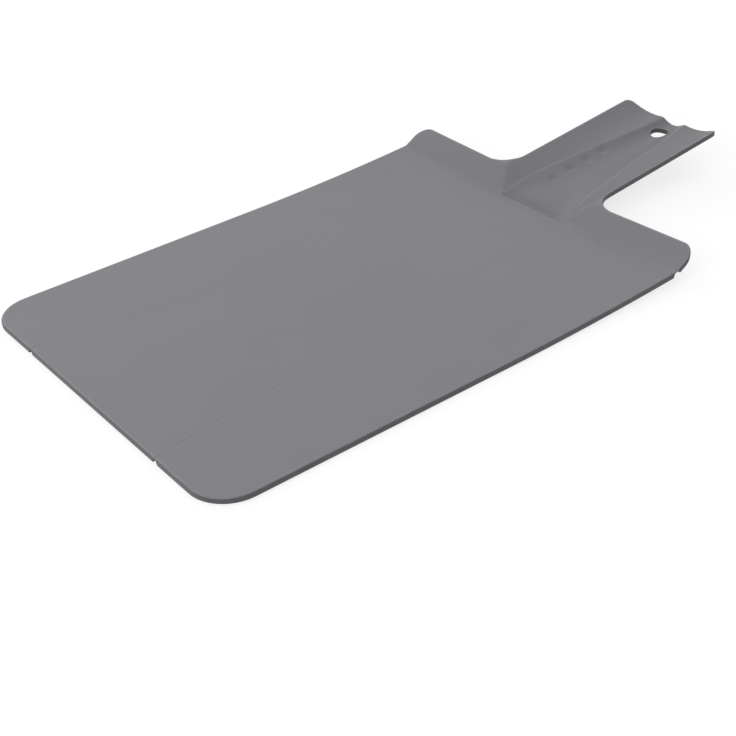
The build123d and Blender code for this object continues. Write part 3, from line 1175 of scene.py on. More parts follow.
class FinishParts:
    """The effects that the materials share, each a node group. Places are in metres."""

    FINER_SCALE, FINER_TURN, FINER_SHARE = 5.3, 0.7, 0.35
    COARSE_SCALE, COARSE_TURN = 0.31, 1.1
    MARK_LINES = ((0.35, 34.0), (-0.62, 41.0), (1.25, 29.0))
    MARK_HALF_WIDTH, MARK_PATCH_SCALE, MARK_PATCH_TURN = 0.006, 38.0, 3.0
    MARK_PATCH = (0.62, 0.7)
    # Breakup of the painted rim highlight.
    WEAR_PATCH, WEAR_LEAST = (0.3, 0.7), 0.45
    # Streaks, grip band and root band of the painted shade.
    STREAK_SCALE, STREAK_STRETCH = 120.0, (1.0, 1.0, 4.0)
    STREAK_PATCH, STREAK_LEAST = (0.25, 0.7), 0.8
    GRIP_ALONG, GRIP_ACROSS, ROOT_BAND = (0.0808, 0.0828), (0.006, 0.036), (0.0828, 0.0895)

    def __init__(self) -> None:
        """Build every group once."""
        self.mottle = self.build_mottle()
        self.grain = self.build_grain()
        self.scratches = self.build_scratches()
        self.wear = self.build_rim_highlight()
        self.shade = self.build_shade()

    def build_mottle(self) -> ShaderGroup:
        """Soft uneven tone of a large moulding, as it cools and is handled.

        Returns:
            The group, with Tone and Haze.
        """
        group = ShaderGroup("cooling_mottle", {"Scale": 9.0, "Amount": 0.05}, "Tone", "Haze")
        tree, scale = group.tree, group.given("Scale")
        broad = noise(tree, object_place(tree), scale, 2.0)
        finer_scale = tree.math("MULTIPLY", scale, self.FINER_SCALE)
        finer = noise(tree, object_place(tree, turn=self.FINER_TURN), finer_scale, 3.0, 0.6)
        broad = tree.math("MULTIPLY", broad, 1.0 - self.FINER_SHARE)
        mixed = tree.math("MULTIPLY_ADD", finer, self.FINER_SHARE, broad)
        centred = tree.math("SUBTRACT", mixed, 0.5)
        group.put("Tone", tree.math("MULTIPLY_ADD", centred, group.given("Amount"), 1.0))
        group.put("Haze", centred)
        return group

    def build_grain(self) -> ShaderGroup:
        """Fine spark-eroded grain of the mould, with a few coarser grains among it.

        Returns:
            The group, with Height.
        """
        group = ShaderGroup("mould_grain", {"Scale": 900.0, "Coarse": 0.4}, "Height")
        tree, scale = group.tree, group.given("Scale")
        fine = noise(tree, object_place(tree), scale, 3.0, 0.7)
        coarse_scale = tree.math("MULTIPLY", scale, self.COARSE_SCALE)
        coarse = noise(tree, object_place(tree, turn=self.COARSE_TURN), coarse_scale, 2.0)
        group.put("Height", tree.math("MULTIPLY_ADD", coarse, group.given("Coarse"), fine))
        return group

    def build_scratches(self) -> ShaderGroup:
        """Hair-thin knife marks in three directions, broken up into short strokes.

        Returns:
            The group, with Mask.
        """
        group = ShaderGroup("knife_marks", {"Scale": 26.0, "Share": 0.5}, "Mask")
        tree, total = group.tree, None
        for turn, stretch in self.MARK_LINES:
            place = object_place(tree, (stretch, 1.0, 1.0), turn)
            lines = noise(tree, place, group.given("Scale"), 1.0)
            ridge = tree.math("ABSOLUTE", tree.math("SUBTRACT", lines, 0.5))
            stroke = tree.between(ridge, 0.0, self.MARK_HALF_WIDTH, 1.0, 0.0)
            place = object_place(tree, turn=turn * self.MARK_PATCH_TURN)
            patch = noise(tree, place, self.MARK_PATCH_SCALE, 1.0)
            chosen = tree.between(patch, *self.MARK_PATCH, 0.0, 1.0)
            stroke = tree.math("MULTIPLY", stroke, chosen)
            total = stroke if total is None else tree.math("MAXIMUM", total, stroke)
        group.put("Mask", tree.math("MULTIPLY", total, group.given("Share")))
        return group

    def build_rim_highlight(self) -> ShaderGroup:
        """Painted highlight: a lighter band along the rounded rims and down the handle webs.

        Returns:
            The group, with Mask.
        """
        group = ShaderGroup("painted_rim_highlight", {"Amount": 0.6, "Breakup": 70.0}, "Mask")
        tree = group.tree
        patch = noise(tree, object_place(tree), group.given("Breakup"), 4.0, 0.6)
        broken = tree.between(patch, *self.WEAR_PATCH, self.WEAR_LEAST, 1.0)
        # Painted highlight: strongest where the corners carry the rim number, broken into patches.
        highlit = tree.math("MULTIPLY", corner_number(tree, "rim"), broken)
        group.put("Mask", tree.math("MULTIPLY", highlit, group.given("Amount")))
        return group

    def build_shade(self) -> ShaderGroup:
        """Painted shade: darker side walls, grip and root band, set to match the photograph.

        Returns:
            The group, with Tone.
        """
        shade_amounts = {"Wall": 0.5, "Grip": 0.1, "Root": 0.1}
        group = ShaderGroup("wall_and_grip_tone", shade_amounts, "Tone")
        tree = group.tree
        patch = noise(tree, object_place(tree, self.STREAK_STRETCH), self.STREAK_SCALE, 3.0)
        streaks = tree.between(patch, *self.STREAK_PATCH, self.STREAK_LEAST, 1.0)
        streaked = tree.math("MULTIPLY", corner_number(tree, "wall"), streaks)
        place = {"Vector": tree.node("ShaderNodeTexCoord").outputs["Object"]}
        place = tree.node("ShaderNodeSeparateXYZ", place).outputs
        behind = tree.between(place["Y"], *self.GRIP_ALONG, 0.0, 1.0)
        near = tree.between(tree.math("ABSOLUTE", place["X"]), *self.GRIP_ACROSS, 1.0, 0.0)
        corner = tree.between(place["Y"], *self.ROOT_BAND, 1.0, 0.0)
        dark = tree.math("MULTIPLY_ADD", corner, group.given("Root"), group.given("Grip"))
        held = tree.math("MULTIPLY", tree.math("MULTIPLY", behind, near), dark)
        lost = tree.math("MULTIPLY_ADD", streaked, group.given("Wall"), held)
        group.put("Tone", tree.math("SUBTRACT", 1.0, lost))
        return group


def blend(tree: Tree, share: object, first: object, second: Colour) -> object:
    """Mix a colour into another by a mask."""
    return tree.node("ShaderNodeMix", {0: share, 6: first, 7: second}, data_type="RGBA").outputs[2]


def surface(tree: Tree, height: object, strength: float, depth: float, **inputs: object) -> None:
    """End a material in a Principled shader over a bumped surface.

    Args:
        tree: Tree of the material.
        height: What the bump follows.
        strength: Strength of the bump.
        depth: Its depth in metres.
        inputs: What feeds the shader, by name.
    """
    bump = tree.node("ShaderNodeBump", {"Strength": strength, "Distance": depth, "Height": height})
    sockets = {"Normal": bump.outputs["Normal"], **inputs}
    shader = tree.node("ShaderNodeBsdfPrincipled", sockets)
    tree.node("ShaderNodeOutputMaterial", {"Surface": shader.outputs["BSDF"]})


@dataclass(frozen=True)
class PlasticFinish:
    """Satin moulded polypropylene, coloured through, with painted shade and painted highlight."""

    name: str
    colour: Colour = (0.2195, 0.2159, 0.2346, 1.0)
    # Painted highlight colour along the rounded rims and down the handle webs.
    highlight_colour: Colour = (0.30, 0.297, 0.315, 1.0)
    mark_colour: Colour = (0.29, 0.288, 0.30, 1.0)
    refraction: float = 1.49
    mottle_amount: float = 0.07
    roughness: float = 0.46
    haze_roughness: float = 0.22
    mark_roughness: float = 0.12
    highlight_roughness: float = -0.10
    grain_strength: float = 0.35
    grain_depth: float = 0.00002
    mark_height: float = -0.8
    marks: float = 0.5
    # Painted shade: how much darker the side walls and the grip are drawn.
    wall_painted_shade: float = 0.55
    grip_painted_shade: float = 0.13

    def build(self, parts: FinishParts) -> bpy.types.Material:
        """Make the material from the shared effects.

        Args:
            parts: The shared effects.

        Returns:
            The finished material.
        """
        material = bpy.data.materials.new(self.name)
        tree = blank(material)
        mottle = parts.mottle.place(tree, amount=self.mottle_amount).outputs
        grain = parts.grain.place(tree).outputs["Height"]
        marks = parts.scratches.place(tree, share=self.marks).outputs["Mask"]
        wear = parts.wear.place(tree).outputs["Mask"]
        # Painted shade on the side walls, the grip and the root band, multiplied into the colour.
        shade = parts.shade.place(tree, wall=self.wall_painted_shade, grip=self.grip_painted_shade).outputs["Tone"]
        tone = tree.math("MULTIPLY", mottle["Tone"], shade)
        toned = {0: self.colour[:3], "Scale": tone}
        toned = tree.node("ShaderNodeVectorMath", toned, operation="SCALE").outputs["Vector"]
        scratched = blend(tree, marks, toned, self.mark_colour)
        # Painted highlight mixed into the colour; the same mask also lowers the roughness.
        highlit = blend(tree, wear, scratched, self.highlight_colour)
        rough = tree.math("MULTIPLY_ADD", mottle["Haze"], self.haze_roughness, self.roughness)
        rough = tree.math("MULTIPLY_ADD", marks, self.mark_roughness, rough)
        rough = tree.math("MULTIPLY_ADD", wear, self.highlight_roughness, rough)
        height = tree.math("MULTIPLY_ADD", marks, self.mark_height, grain)
        inputs = {"Base Color": highlit, "Roughness": rough, "IOR": self.refraction}
        surface(tree, height, self.grain_strength, self.grain_depth, **inputs)
        return material


@dataclass(frozen=True)
class RubberFinish:
    """Soft dark rubber of the feet, dusty and a little rubbed."""

    name: str = "foot_rubber"
    colour: Colour = (0.052, 0.052, 0.055, 1.0)
    dusty_colour: Colour = (0.12, 0.118, 0.115, 1.0)
    mottle_scale: float = 120.0
    mottle_amount: float = 0.4
    grain_scale: float = 700.0
    grain_strength: float = 0.5
    grain_depth: float = 0.00003
    dust_range: Point = (-0.05, 0.2)
    dust_most: float = 0.7
    dust_roughness: float = 0.12
    roughness: float = 0.78

    def build(self, parts: FinishParts) -> bpy.types.Material:
        """Make the material from the shared effects.

        Args:
            parts: The shared effects.

        Returns:
            The finished material.
        """
        material = bpy.data.materials.new(self.name)
        tree = blank(material)
        mottle = parts.mottle.place(tree, scale=self.mottle_scale, amount=self.mottle_amount)
        grain = parts.grain.place(tree, scale=self.grain_scale)
        dust = tree.between(mottle.outputs["Haze"], *self.dust_range, 0.0, self.dust_most)
        rough = tree.math("MULTIPLY_ADD", dust, self.dust_roughness, self.roughness)
        colour = blend(tree, dust, self.colour, self.dusty_colour)
        inputs = {"Base Color": colour, "Roughness": rough}
        surface(tree, grain.outputs["Height"], self.grain_strength, self.grain_depth, **inputs)
        return material


@dataclass
class Workshop:
    """What every sub-assembly needs: the form, the panel maker and the finished materials."""

    form: BoardForm
    maker: PanelMaker
    materials: dict[str, bpy.types.Material]
    crease_gaps: Point3 = (4.0, 2.5, 1.5)
    ridge_gaps: Point3 = (1.6, 0.8, 2.2)
    fold_steps: int = 34
    last_fold_share: float = 0.975

    def crease_stations(self) -> list[float]:
        """Places along the long crease where the panels and their web share corners."""
        form = self.form
        return stations(form.front_y, form.fold_y - form.cross_web_half, *self.crease_gaps)

    def ridge_stations(self) -> list[float]:
        """Places along the handle crease where the spine, the wings and the webs share corners."""
        form = self.form
        return stations(form.fold_y + form.cross_web_half, form.ridge_end_y, *self.ridge_gaps)

    def fold_shares(self) -> list[float]:
        """Shares of the way out along the rear fold at which the panels share corners."""
        inner = [index / self.fold_steps for index in range(self.fold_steps - 1)]
        return inner + [self.last_fold_share, 1.0]

    def fold_point(self, share: float, shift: float) -> Point:
        """Point beside the right rear fold.

        Args:
            share: Share of the way out from the inner end to the side edge.
            shift: Distance behind the fold's line, negative in front of it.

        Returns:
            The point in plan.
        """
        form = self.form
        y = form.fold_y + shift
        if shift > 0.0:
            start = form.ridge_x(y, self.ridge_half(y))
        else:
            start = form.crease_x(y, form.side_web_half)
        return start + (form.side_x - start) * share, y - form.fold_sweep * share

    def end_run(self, start: float, finish: float, step: float) -> list[Point]:
        """Points along the handle's bowed end between two distances from the middle.

        Args:
            start: Where it starts.
            finish: Where it ends.
            step: Longest gap between points.

        Returns:
            The points in plan.
        """
        form = self.form
        count = max(1, math.ceil(abs(finish - start) / step))
        places = [start + (finish - start) * index / count for index in range(count + 1)]
        return [(x, min(form.end_line(x), form.end_y)) for x in places]

    def ridge_half(self, y: float) -> float:
        """Half width of the web along the handle crease, narrower where it meets the board's.

        Args:
            y: Place along the board.

        Returns:
            The half width.
        """
        form = self.form
        share = ease((y - form.fold_y) / form.cross_web_half)
        return form.side_web_half + (form.handle_web_half - form.side_web_half) * share

    def finish(self, piece: bpy.types.Object, body: str, nodes: list[str], slot: str) -> None:
        """Dress a piece, let it ride on its body and stand for its nodes.

        Args:
            piece: The finished object.
            body: Body it moves with.
            nodes: CAD nodes that it stands for.
            slot: Material slot of the record.
        """
        if not piece.data.materials:
            piece.data.materials.append(self.materials[slot])
        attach(piece, body)
        self.note(piece, nodes, slot)
        log.info("%s: %d faces, rides on %s", piece.name, len(piece.data.polygons), body)

    @staticmethod
    def note(piece: bpy.types.Object, nodes: list[str], slot: str) -> None:
        """Hide the CAD nodes that a piece stands for.

        Args:
            piece: The piece; not used.
            nodes: CAD nodes that it stands for.
            slot: Material slot of the record; not used.
        """
        if nodes:
            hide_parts(*nodes)

    def pair(self, shell: Shell, stem: str, body: str) -> None:
        """Write and dress a right-hand panel and its mirror image.

        Args:
            shell: The right-hand panel.
            stem: Name of the panel's node without its side.
            body: Name of the panel's body without its side.
        """
        for side in Side:
            own = shell if side is Side.RIGHT else mirrored_shell(shell)
            piece = write_mesh(f"{side.word}_{stem}_skin", own)
            self.finish(piece, f"{side.word}_{body}", [f"{side.word}_{stem}"], "board_plastic")


@dataclass
class Board:
    """The flat middle of the board and its two side panels."""

    shop: Workshop
    flat_step: float = 7.0
    curl_step: float = 3.0
    corner_steps: int = 18
    front_step: float = 4.0
    root_step: float = 2.0
    side_step: float = 5.0
    foot_front_inset: float = 31.0
    foot_crease_inset: float = 14.4
    foot_rear_inset: float = 44.0
    foot_side_inset: float = 23.0
    foot_curl_inset: float = 34.0
    foot_side_rear_inset: float = 76.0

    def middle_feet(self) -> list[Point]:
        """Where the middle panel's feet stand.

        Returns:
            Places in plan, left ones first.
        """
        form = self.shop.form
        rows = (form.front_y + self.foot_front_inset, form.fold_y - self.foot_rear_inset)
        right = [(form.crease_x(y) - self.foot_crease_inset, y) for y in rows]
        return [(side.value * x, y) for side in Side for x, y in right]

    def side_feet(self) -> list[Point]:
        """Where the right side panel's feet stand.

        Returns:
            Places in plan, front one first.
        """
        form = self.shop.form
        return [
            (form.side_x - self.foot_side_inset, form.front_y + self.foot_front_inset),
            (form.side_x - self.foot_curl_inset, form.fold_y - self.foot_side_rear_inset),
        ]

    def middle_outline(self) -> Outline:
        """Outline of the middle panel.

        Returns:
            The closed outline.
        """
        form = self.shop.form
        places = self.shop.crease_stations()
        right = [(form.crease_x(y, -form.side_web_half), y) for y in places]
        left = [(-x, y) for x, y in reversed(right)]
        return Outline.of(
            (between(left[-1], right[0], self.front_step), EdgeKind.RIM),
            (right, EdgeKind.FOLD),
            (between(right[-1], left[0], self.root_step), EdgeKind.STEP),
            (left, EdgeKind.FOLD),
        )

    def side_outline(self) -> Outline:
        """Outline of the right side panel.

        Returns:
            The closed outline.
        """
        form, shop = self.shop.form, self.shop
        inner = [(form.crease_x(y, form.side_web_half), y) for y in shop.crease_stations()]
        radius = form.front_corner_radius
        centre = (form.side_x - radius, form.front_y + radius)
        rear = [shop.fold_point(share, -form.cross_web_half) for share in shop.fold_shares()]
        return Outline.of(
            (between(inner[0], (centre[0], form.front_y), self.front_step), EdgeKind.RIM),
            (arc(centre, radius, -90.0, 0.0, self.corner_steps), EdgeKind.RIM),
            (between((form.side_x, centre[1]), rear[-1], self.side_step), EdgeKind.RIM),
            (rear[::-1], EdgeKind.FOLD),
            (inner[::-1], EdgeKind.FOLD),
        )

    def build(self) -> None:
        """Make the three panels."""
        shop, step, panel = self.shop, self.flat_step, self.shop.maker.panel
        shell = panel([self.middle_outline()], step, step, self.middle_feet())
        piece = write_mesh("middle_panel_skin", shell)
        shop.finish(piece, "board", ["centre_panel"], "board_plastic")
        shell = panel([self.side_outline()], self.curl_step, step, self.side_feet())
        shop.pair(shell, "side_panel", "side")


@dataclass
class Handle:
    """The trough-shaped spine and the two dished wings with their stretches of rim."""

    shop: Workshop
    spine_step: float = 0.75
    wing_step: float = 0.85
    lower_step: float = 2.0
    rim_step: float = 1.5
    end_step: float = 1.0
    hole_steps: int = 56
    corner_steps: int = 16
    neck_steps: int = 12
    tip_steps: int = 14

    def spine_outline(self) -> list[Outline]:
        """Outline of the spine and of the hanging hole.

        Returns:
            The outline, then the hole.
        """
        form, shop = self.shop.form, self.shop
        right = [(form.ridge_x(y, -shop.ridge_half(y)), y) for y in shop.ridge_stations()]
        left = [(-x, y) for x, y in reversed(right)]
        end = shop.end_run(right[-1][0], left[0][0], self.end_step)
        outline = Outline.of(
            (between(left[-1], right[0], self.rim_step), EdgeKind.FOLD),
            (right, EdgeKind.FOLD),
            (right[-1:] + end[1:-1], EdgeKind.RIM),
            (left, EdgeKind.FOLD),
        )
        middle = (0.0, form.end_y - form.hole_inset)
        hole = arc(middle, form.hole_radius, 360.0, 0.0, self.hole_steps)
        return [outline, Outline.of((hole, EdgeKind.BORE))]

    def wing_outline(self) -> Outline:
        """Outline of the right wing with its stretch of raised rim.

        Returns:
            The closed outline.
        """
        form, shop = self.shop.form, self.shop
        inner = [(form.ridge_x(y, shop.ridge_half(y)), y) for y in shop.ridge_stations()]
        fold = [shop.fold_point(share, form.cross_web_half) for share in shop.fold_shares()]
        corner = (form.side_x - form.rim_corner_radius, form.neck_y - form.rim_corner_radius)
        neck_x = form.wing_half_width + form.neck_radius
        neck = (neck_x, form.neck_y + form.neck_radius)
        reach, tip_x = form.bow_radius - form.tip_radius, form.wing_half_width - form.tip_radius
        tip = (tip_x, form.end_y - form.bow_radius + math.sqrt(reach**2 - tip_x**2))
        turned = 90.0 - math.degrees(math.asin(tip_x / reach))
        radius, step, grip_x = form.rim_corner_radius, self.rim_step, form.wing_half_width
        rounded = arc(tip, form.tip_radius, 0.0, turned, self.tip_steps)
        end = shop.end_run(rounded[-1][0], inner[-1][0], self.end_step)
        return Outline.of(
            (fold, EdgeKind.FOLD),
            (between(fold[-1], (form.side_x, corner[1]), step), EdgeKind.RIM),
            (arc(corner, radius, 0.0, 90.0, self.corner_steps), EdgeKind.RIM),
            (between((corner[0], form.neck_y), (neck_x, form.neck_y), step), EdgeKind.RIM),
            (arc(neck, form.neck_radius, 270.0, 180.0, self.neck_steps), EdgeKind.RIM),
            (between((grip_x, neck[1]), (grip_x, tip[1]), step), EdgeKind.RIM),
            (rounded, EdgeKind.RIM),
            (end[1:-1] + inner[-1:], EdgeKind.RIM),
            (inner[::-1], EdgeKind.FOLD),
        )

    def build(self) -> None:
        """Make the spine and the wings."""
        shop, panel = self.shop, self.shop.maker.panel
        shell = panel(self.spine_outline(), self.spine_step, self.lower_step, [])
        piece = write_mesh("handle_spine_skin", shell)
        shop.finish(piece, "spine", ["handle_spine"], "board_plastic")
        shell = panel([self.wing_outline()], self.wing_step, self.lower_step, [])
        shop.pair(shell, "handle_wing", "wing")


class MeshTree:
    """A Geometry Nodes tree with named numbers, whose result is kept as a plain mesh."""

    def __init__(self, name: str, **numbers: float) -> None:
        """Make the tree's sockets.

        Args:
            name: Name of the tree.
            numbers: Its number inputs with their usual values, in metres.
        """
        self.group = bpy.data.node_groups.new(name, "GeometryNodeTree")
        face = self.group.interface
        face.new_socket("Geometry", in_out="INPUT", socket_type="NodeSocketGeometry")
        for label, value in numbers.items():
            socket = face.new_socket(label, in_out="INPUT", socket_type="NodeSocketFloat")
            socket.default_value = value
        face.new_socket("Geometry", in_out="OUTPUT", socket_type="NodeSocketGeometry")
        self.tree = Tree(self.group)
        self.source = self.tree.node("NodeGroupInput")

    def given(self, label: str) -> bpy.types.NodeSocket:
        """What the tree is given under a name."""
        return self.source.outputs[label]

    def through(
        self, kind: str, geometry: object, name: str = "Geometry", **more: object
    ) -> object:
        """Send geometry through a node that gives it back under the same name."""
        return self.tree.node(kind, {name: geometry, **more}).outputs[name]

    def end(self, geometry: object, material: bpy.types.Material) -> None:
        """Give the result its material and send it out."""
        dressed = self.through("GeometryNodeSetMaterial", geometry, Material=material)
        self.tree.node("NodeGroupOutput", {"Geometry": dressed})

    def apply(self, piece: bpy.types.Object, **values: float) -> None:
        """Run the tree on an object and keep the result as its own plain mesh.

        Args:
            piece: The object.
            values: Values of named inputs, in metres.
        """
        modifier = piece.modifiers.new("shape", "NODES")
        modifier.node_group = self.group
        for item in self.group.interface.items_tree:
            if item.in_out == "INPUT" and item.name in values:
                modifier[item.identifier] = values[item.name]
        graph = bpy.context.evaluated_depsgraph_get()
        made = bpy.data.meshes.new_from_object(piece.evaluated_get(graph))
        piece.modifiers.remove(modifier)
        old, piece.data = piece.data, made
        made.name = piece.name
        bpy.data.meshes.remove(old)


class WebTree(MeshTree):
    """Turns the upper skin of a living hinge into a closed thin web."""

    def __init__(self, material: bpy.types.Material) -> None:
        """Build the tree, with one material for every web.

        Args:
            material: Material of the result.
        """
        super().__init__("living_hinge_web", Thickness=0.0006, Sink=0.00012)
        tree, skin, thickness = self.tree, self.given("Geometry"), self.given("Thickness")
        across = self.attribute("across")
        hollow = tree.math("SUBTRACT", 1.0, tree.math("MULTIPLY", across, across))
        hollow = tree.math("MULTIPLY", tree.math("MULTIPLY", hollow, hollow), self.given("Sink"))
        under = tree.math("SUBTRACT", thickness, self.attribute("drop"))
        under = tree.math("MAXIMUM", under, 0.0)
        hollow = tree.math("MULTIPLY", hollow, tree.math("DIVIDE", under, thickness))
        sunk = self.lowered(skin, hollow)
        lower = self.through("GeometryNodeFlipFaces", self.lowered(skin, under), "Mesh")
        walls = self.walls(sunk, tree.math("SUBTRACT", under, hollow))
        joined = tree.node("GeometryNodeJoinGeometry")
        for part in (sunk, lower, walls):
            tree.feed(joined.inputs["Geometry"], part)
        joined = joined.outputs["Geometry"]
        merged = self.through("GeometryNodeMergeByDistance", joined, Distance=TOLERANCE)
        self.end(self.through("GeometryNodeRealizeInstances", merged), material)

    def attribute(self, name: str) -> object:
        """A named number on the skin's corners."""
        node = self.tree.node("GeometryNodeInputNamedAttribute", {"Name": name}, data_type="FLOAT")
        return node.outputs["Attribute"]

    def lowered(self, geometry: object, amount: object, chosen: object = None) -> object:
        """The geometry with its corners, or the chosen ones, moved straight down.

        Args:
            geometry: The geometry.
            amount: How far down they move.
            chosen: Which corners move; all when left out.

        Returns:
            The moved geometry.
        """
        drop = {"Z": self.tree.math("MULTIPLY", amount, -1.0)}
        drop = self.tree.node("ShaderNodeCombineXYZ", drop).outputs["Vector"]
        return self.through("GeometryNodeSetPosition", geometry, Selection=chosen, Offset=drop)

    def walls(self, upper: object, depth: object) -> object:
        """Side walls: the skin's border edges drawn out, then moved down to the lower face.

        The move is a step of its own, because a field that draws edges out is averaged over each
        edge, and the corners would miss the lower face where its depth changes.

        Args:
            upper: The web's upper face.
            depth: Height of the walls at each corner.

        Returns:
            The walls alone.
        """
        tree = self.tree
        count = tree.node("GeometryNodeInputMeshEdgeNeighbors").outputs["Face Count"]
        border = {2: count, 3: 1}
        border = tree.node("FunctionNodeCompare", border, data_type="INT", operation="EQUAL")
        drawn = {"Mesh": upper, "Selection": border.outputs["Result"], "Offset Scale": 0.0}
        drawn = tree.node("GeometryNodeExtrudeMesh", drawn, mode="EDGES").outputs
        moved = self.lowered(drawn["Mesh"], depth, drawn["Top"])
        kept = {"Geometry": moved, "Selection": drawn["Side"]}
        kept = tree.node("GeometryNodeSeparateGeometry", kept, domain="FACE")
        return kept.outputs["Selection"]


@dataclass
class Webs:
    """All the living hinges: five lie between two panels, and the rear folds are in halves."""

    shop: Workshop
    side_sink: float = 0.1
    # Strength of the painted highlight line down the middle of the handle webs.
    handle_painted_highlight: float = 0.9
    handle_sink: float = 0.0
    across_steps: int = 12
    root_steps: int = 12
    root_across_steps: int = 44
    rear_steps: int = 6
    sharp_degrees: float = 40.0

    def shares(self) -> list[float]:
        """Places across a web from -1 to 1."""
        steps = self.across_steps
        return [-1.0 + 2.0 * index / steps for index in range(steps + 1)]

    def rounding(self) -> list[tuple[float, float]]:
        """Inset and depth of the rows where a web ends in the rounded rim, lowest first.

        Returns:
            Inset and depth of each row.
        """
        profile = self.shop.maker.profile
        depths = [depth for depth in profile.depths() if depth <= profile.web_depth + HAIR]
        return [(profile.inset(EdgeKind.RIM, depth), depth) for depth in reversed(depths)]

    def skin(self, name: str, rows: list[Row], highlit: float = 0.0) -> bpy.types.Object:
        """Write a web's open upper skin.

        Args:
            name: Name of the piece.
            rows: Rows of corners, each a plan point, its share across and its drop at an end.
            highlit: Strength of the painted highlight line down its middle.

        Returns:
            The skin, facing up.
        """
        form = self.shop.form
        corners, across, drops = [], [], []
        for row in rows:
            for (x, y), share, drop in row:
                corners.append((x * MM, y * MM, (form.upper_z(x, y) - drop) * MM))
                across.append(share)
                drops.append(drop * MM)
        width = len(rows[0])
        starts = [j * width + i for j in range(len(rows) - 1) for i in range(width - 1)]
        faces = [(a, a + 1, a + width + 1, a + width) for a in starts]
        mesh = bpy.data.meshes.new(name)
        mesh.from_pydata(corners, [], faces)
        # Painted highlight: a light line down the web's middle, strongest at its centre.
        wear = [highlit * (1.0 - abs(share)) for share in across]
        mark(mesh, across=across, drop=drops, rim=wear)
        if mesh.polygons[len(mesh.polygons) // 2].normal.z < 0.0:
            mesh.flip_normals()
        return linked(name, mesh)

    def close(self, skin: bpy.types.Object, tree: WebTree, sink: float = 0.0) -> bpy.types.Object:
        """Close a skin into a web, smooth on its faces and crisp at its walls.

        Args:
            skin: The open upper skin.
            tree: Tree that closes the webs.
            sink: Depth of the line down its middle.

        Returns:
            The same object, closed.
        """
        tree.apply(skin, Thickness=self.shop.form.web_thickness * MM, Sink=sink * MM)
        soften(skin.data, self.sharp_degrees)
        return skin

    def side_rows(self, sign: int) -> list[Row]:
        """Rows of the web along a long crease.

        Args:
            sign: Minus 1 on the left, 1 on the right.

        Returns:
            The rows, from the front.
        """
        form = self.shop.form
        places = [(form.front_y + inset, depth) for inset, depth in self.rounding()]
        places += [(y, 0.0) for y in self.shop.crease_stations()[1:]] + [(form.fold_y, 0.0)]
        rows = []
        for y, drop in places:
            xs = [(sign * form.crease_x(y, s * form.side_web_half), s) for s in self.shares()]
            rows.append([((x, y), share, drop) for x, share in xs])
        return rows

    def handle_rows(self, sign: int) -> list[Row]:
        """Rows of the web along a handle crease.

        Args:
            sign: Minus 1 on the left, 1 on the right.

        Returns:
            The rows, from the root.
        """
        form, shop = self.shop.form, self.shop
        places = [(form.fold_y + HAIR, 0.0), (form.fold_y + form.cross_web_half / 2, 0.0)]
        places += [(y, 0.0) for y in shop.ridge_stations()[:-1]]
        places += [(form.ridge_end_y - inset, depth) for inset, depth in self.rounding()[::-1]]
        rows = []
        for y, drop in places:
            half = shop.ridge_half(y)
            rows.append([((sign * form.ridge_x(y, s * half), y), s, drop) for s in self.shares()])
        return rows

    def root_rows(self) -> list[Row]:
        """Rows of the sunk web between the board and the spine.

        Returns:
            The rows, from the front.
        """
        form, shop = self.shop.form, self.shop
        rows = []
        count = self.root_across_steps
        shares = [-1.0 + 2.0 * i / count for i in range(count + 1)]
        for index in range(self.root_steps + 1):
            y = form.fold_y + form.cross_web_half * (2.0 * index / self.root_steps - 1.0)
            if y < form.fold_y:
                edge = form.crease_x(y, -form.side_web_half)
            else:
                edge = form.ridge_x(y, -shop.ridge_half(y))
            edge -= NUDGE
            rows.append([((edge * share, y), 1.0, 0.0) for share in shares])
        return rows

    def rear_rows(self, sign: int, front: bool) -> list[Row]:
        """Rows of one half of the web along the rear fold.

        Args:
            sign: Minus 1 on the left, 1 on the right.
            front: Whether it is the half before the fold.

        Returns:
            The rows, from the front.
        """
        form, shop = self.shop.form, self.shop
        half, steps = form.cross_web_half, self.rear_steps
        rows = []
        for index in range(steps + 1):
            shift = half * index / steps
            shift = shift - half if front else max(shift, HAIR)
            start = shop.fold_point(0.0, shift)[0]
            places = [(share, 0.0) for share in shop.fold_shares()[:-1]]
            for inset, drop in self.rounding()[::-1]:
                places.append((1.0 - inset / (form.side_x - start), drop))
            places = [(shop.fold_point(share, shift), drop) for share, drop in places]
            rows.append([((sign * x, y), 1.0, drop) for (x, y), drop in places])
        return rows

    def bend(self, piece: bpy.types.Object, bodies: tuple[str, str]) -> None:
        """Bake a web's place into its mesh and hide the CAD hinge that it stands for.

        Args:
            piece: The piece.
            bodies: The two bodies.
        """
        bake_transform(piece)
        self.shop.note(piece, [piece.name.replace("web", "hinge")], "hinge_web")
        log.info("%s: %d faces, bends from %s to %s", piece.name, len(piece.data.polygons), *bodies)

    @staticmethod
    def across_line(place: Point, lean: float, half: float, sign: int) -> list[Point]:
        """The line square across a crease on one side of the board, from inside to outside."""
        x, y = math.cos(lean) * half, math.sin(lean) * half
        return [(sign * (place[0] - x), place[1] - y), (sign * (place[0] + x), place[1] + y)]

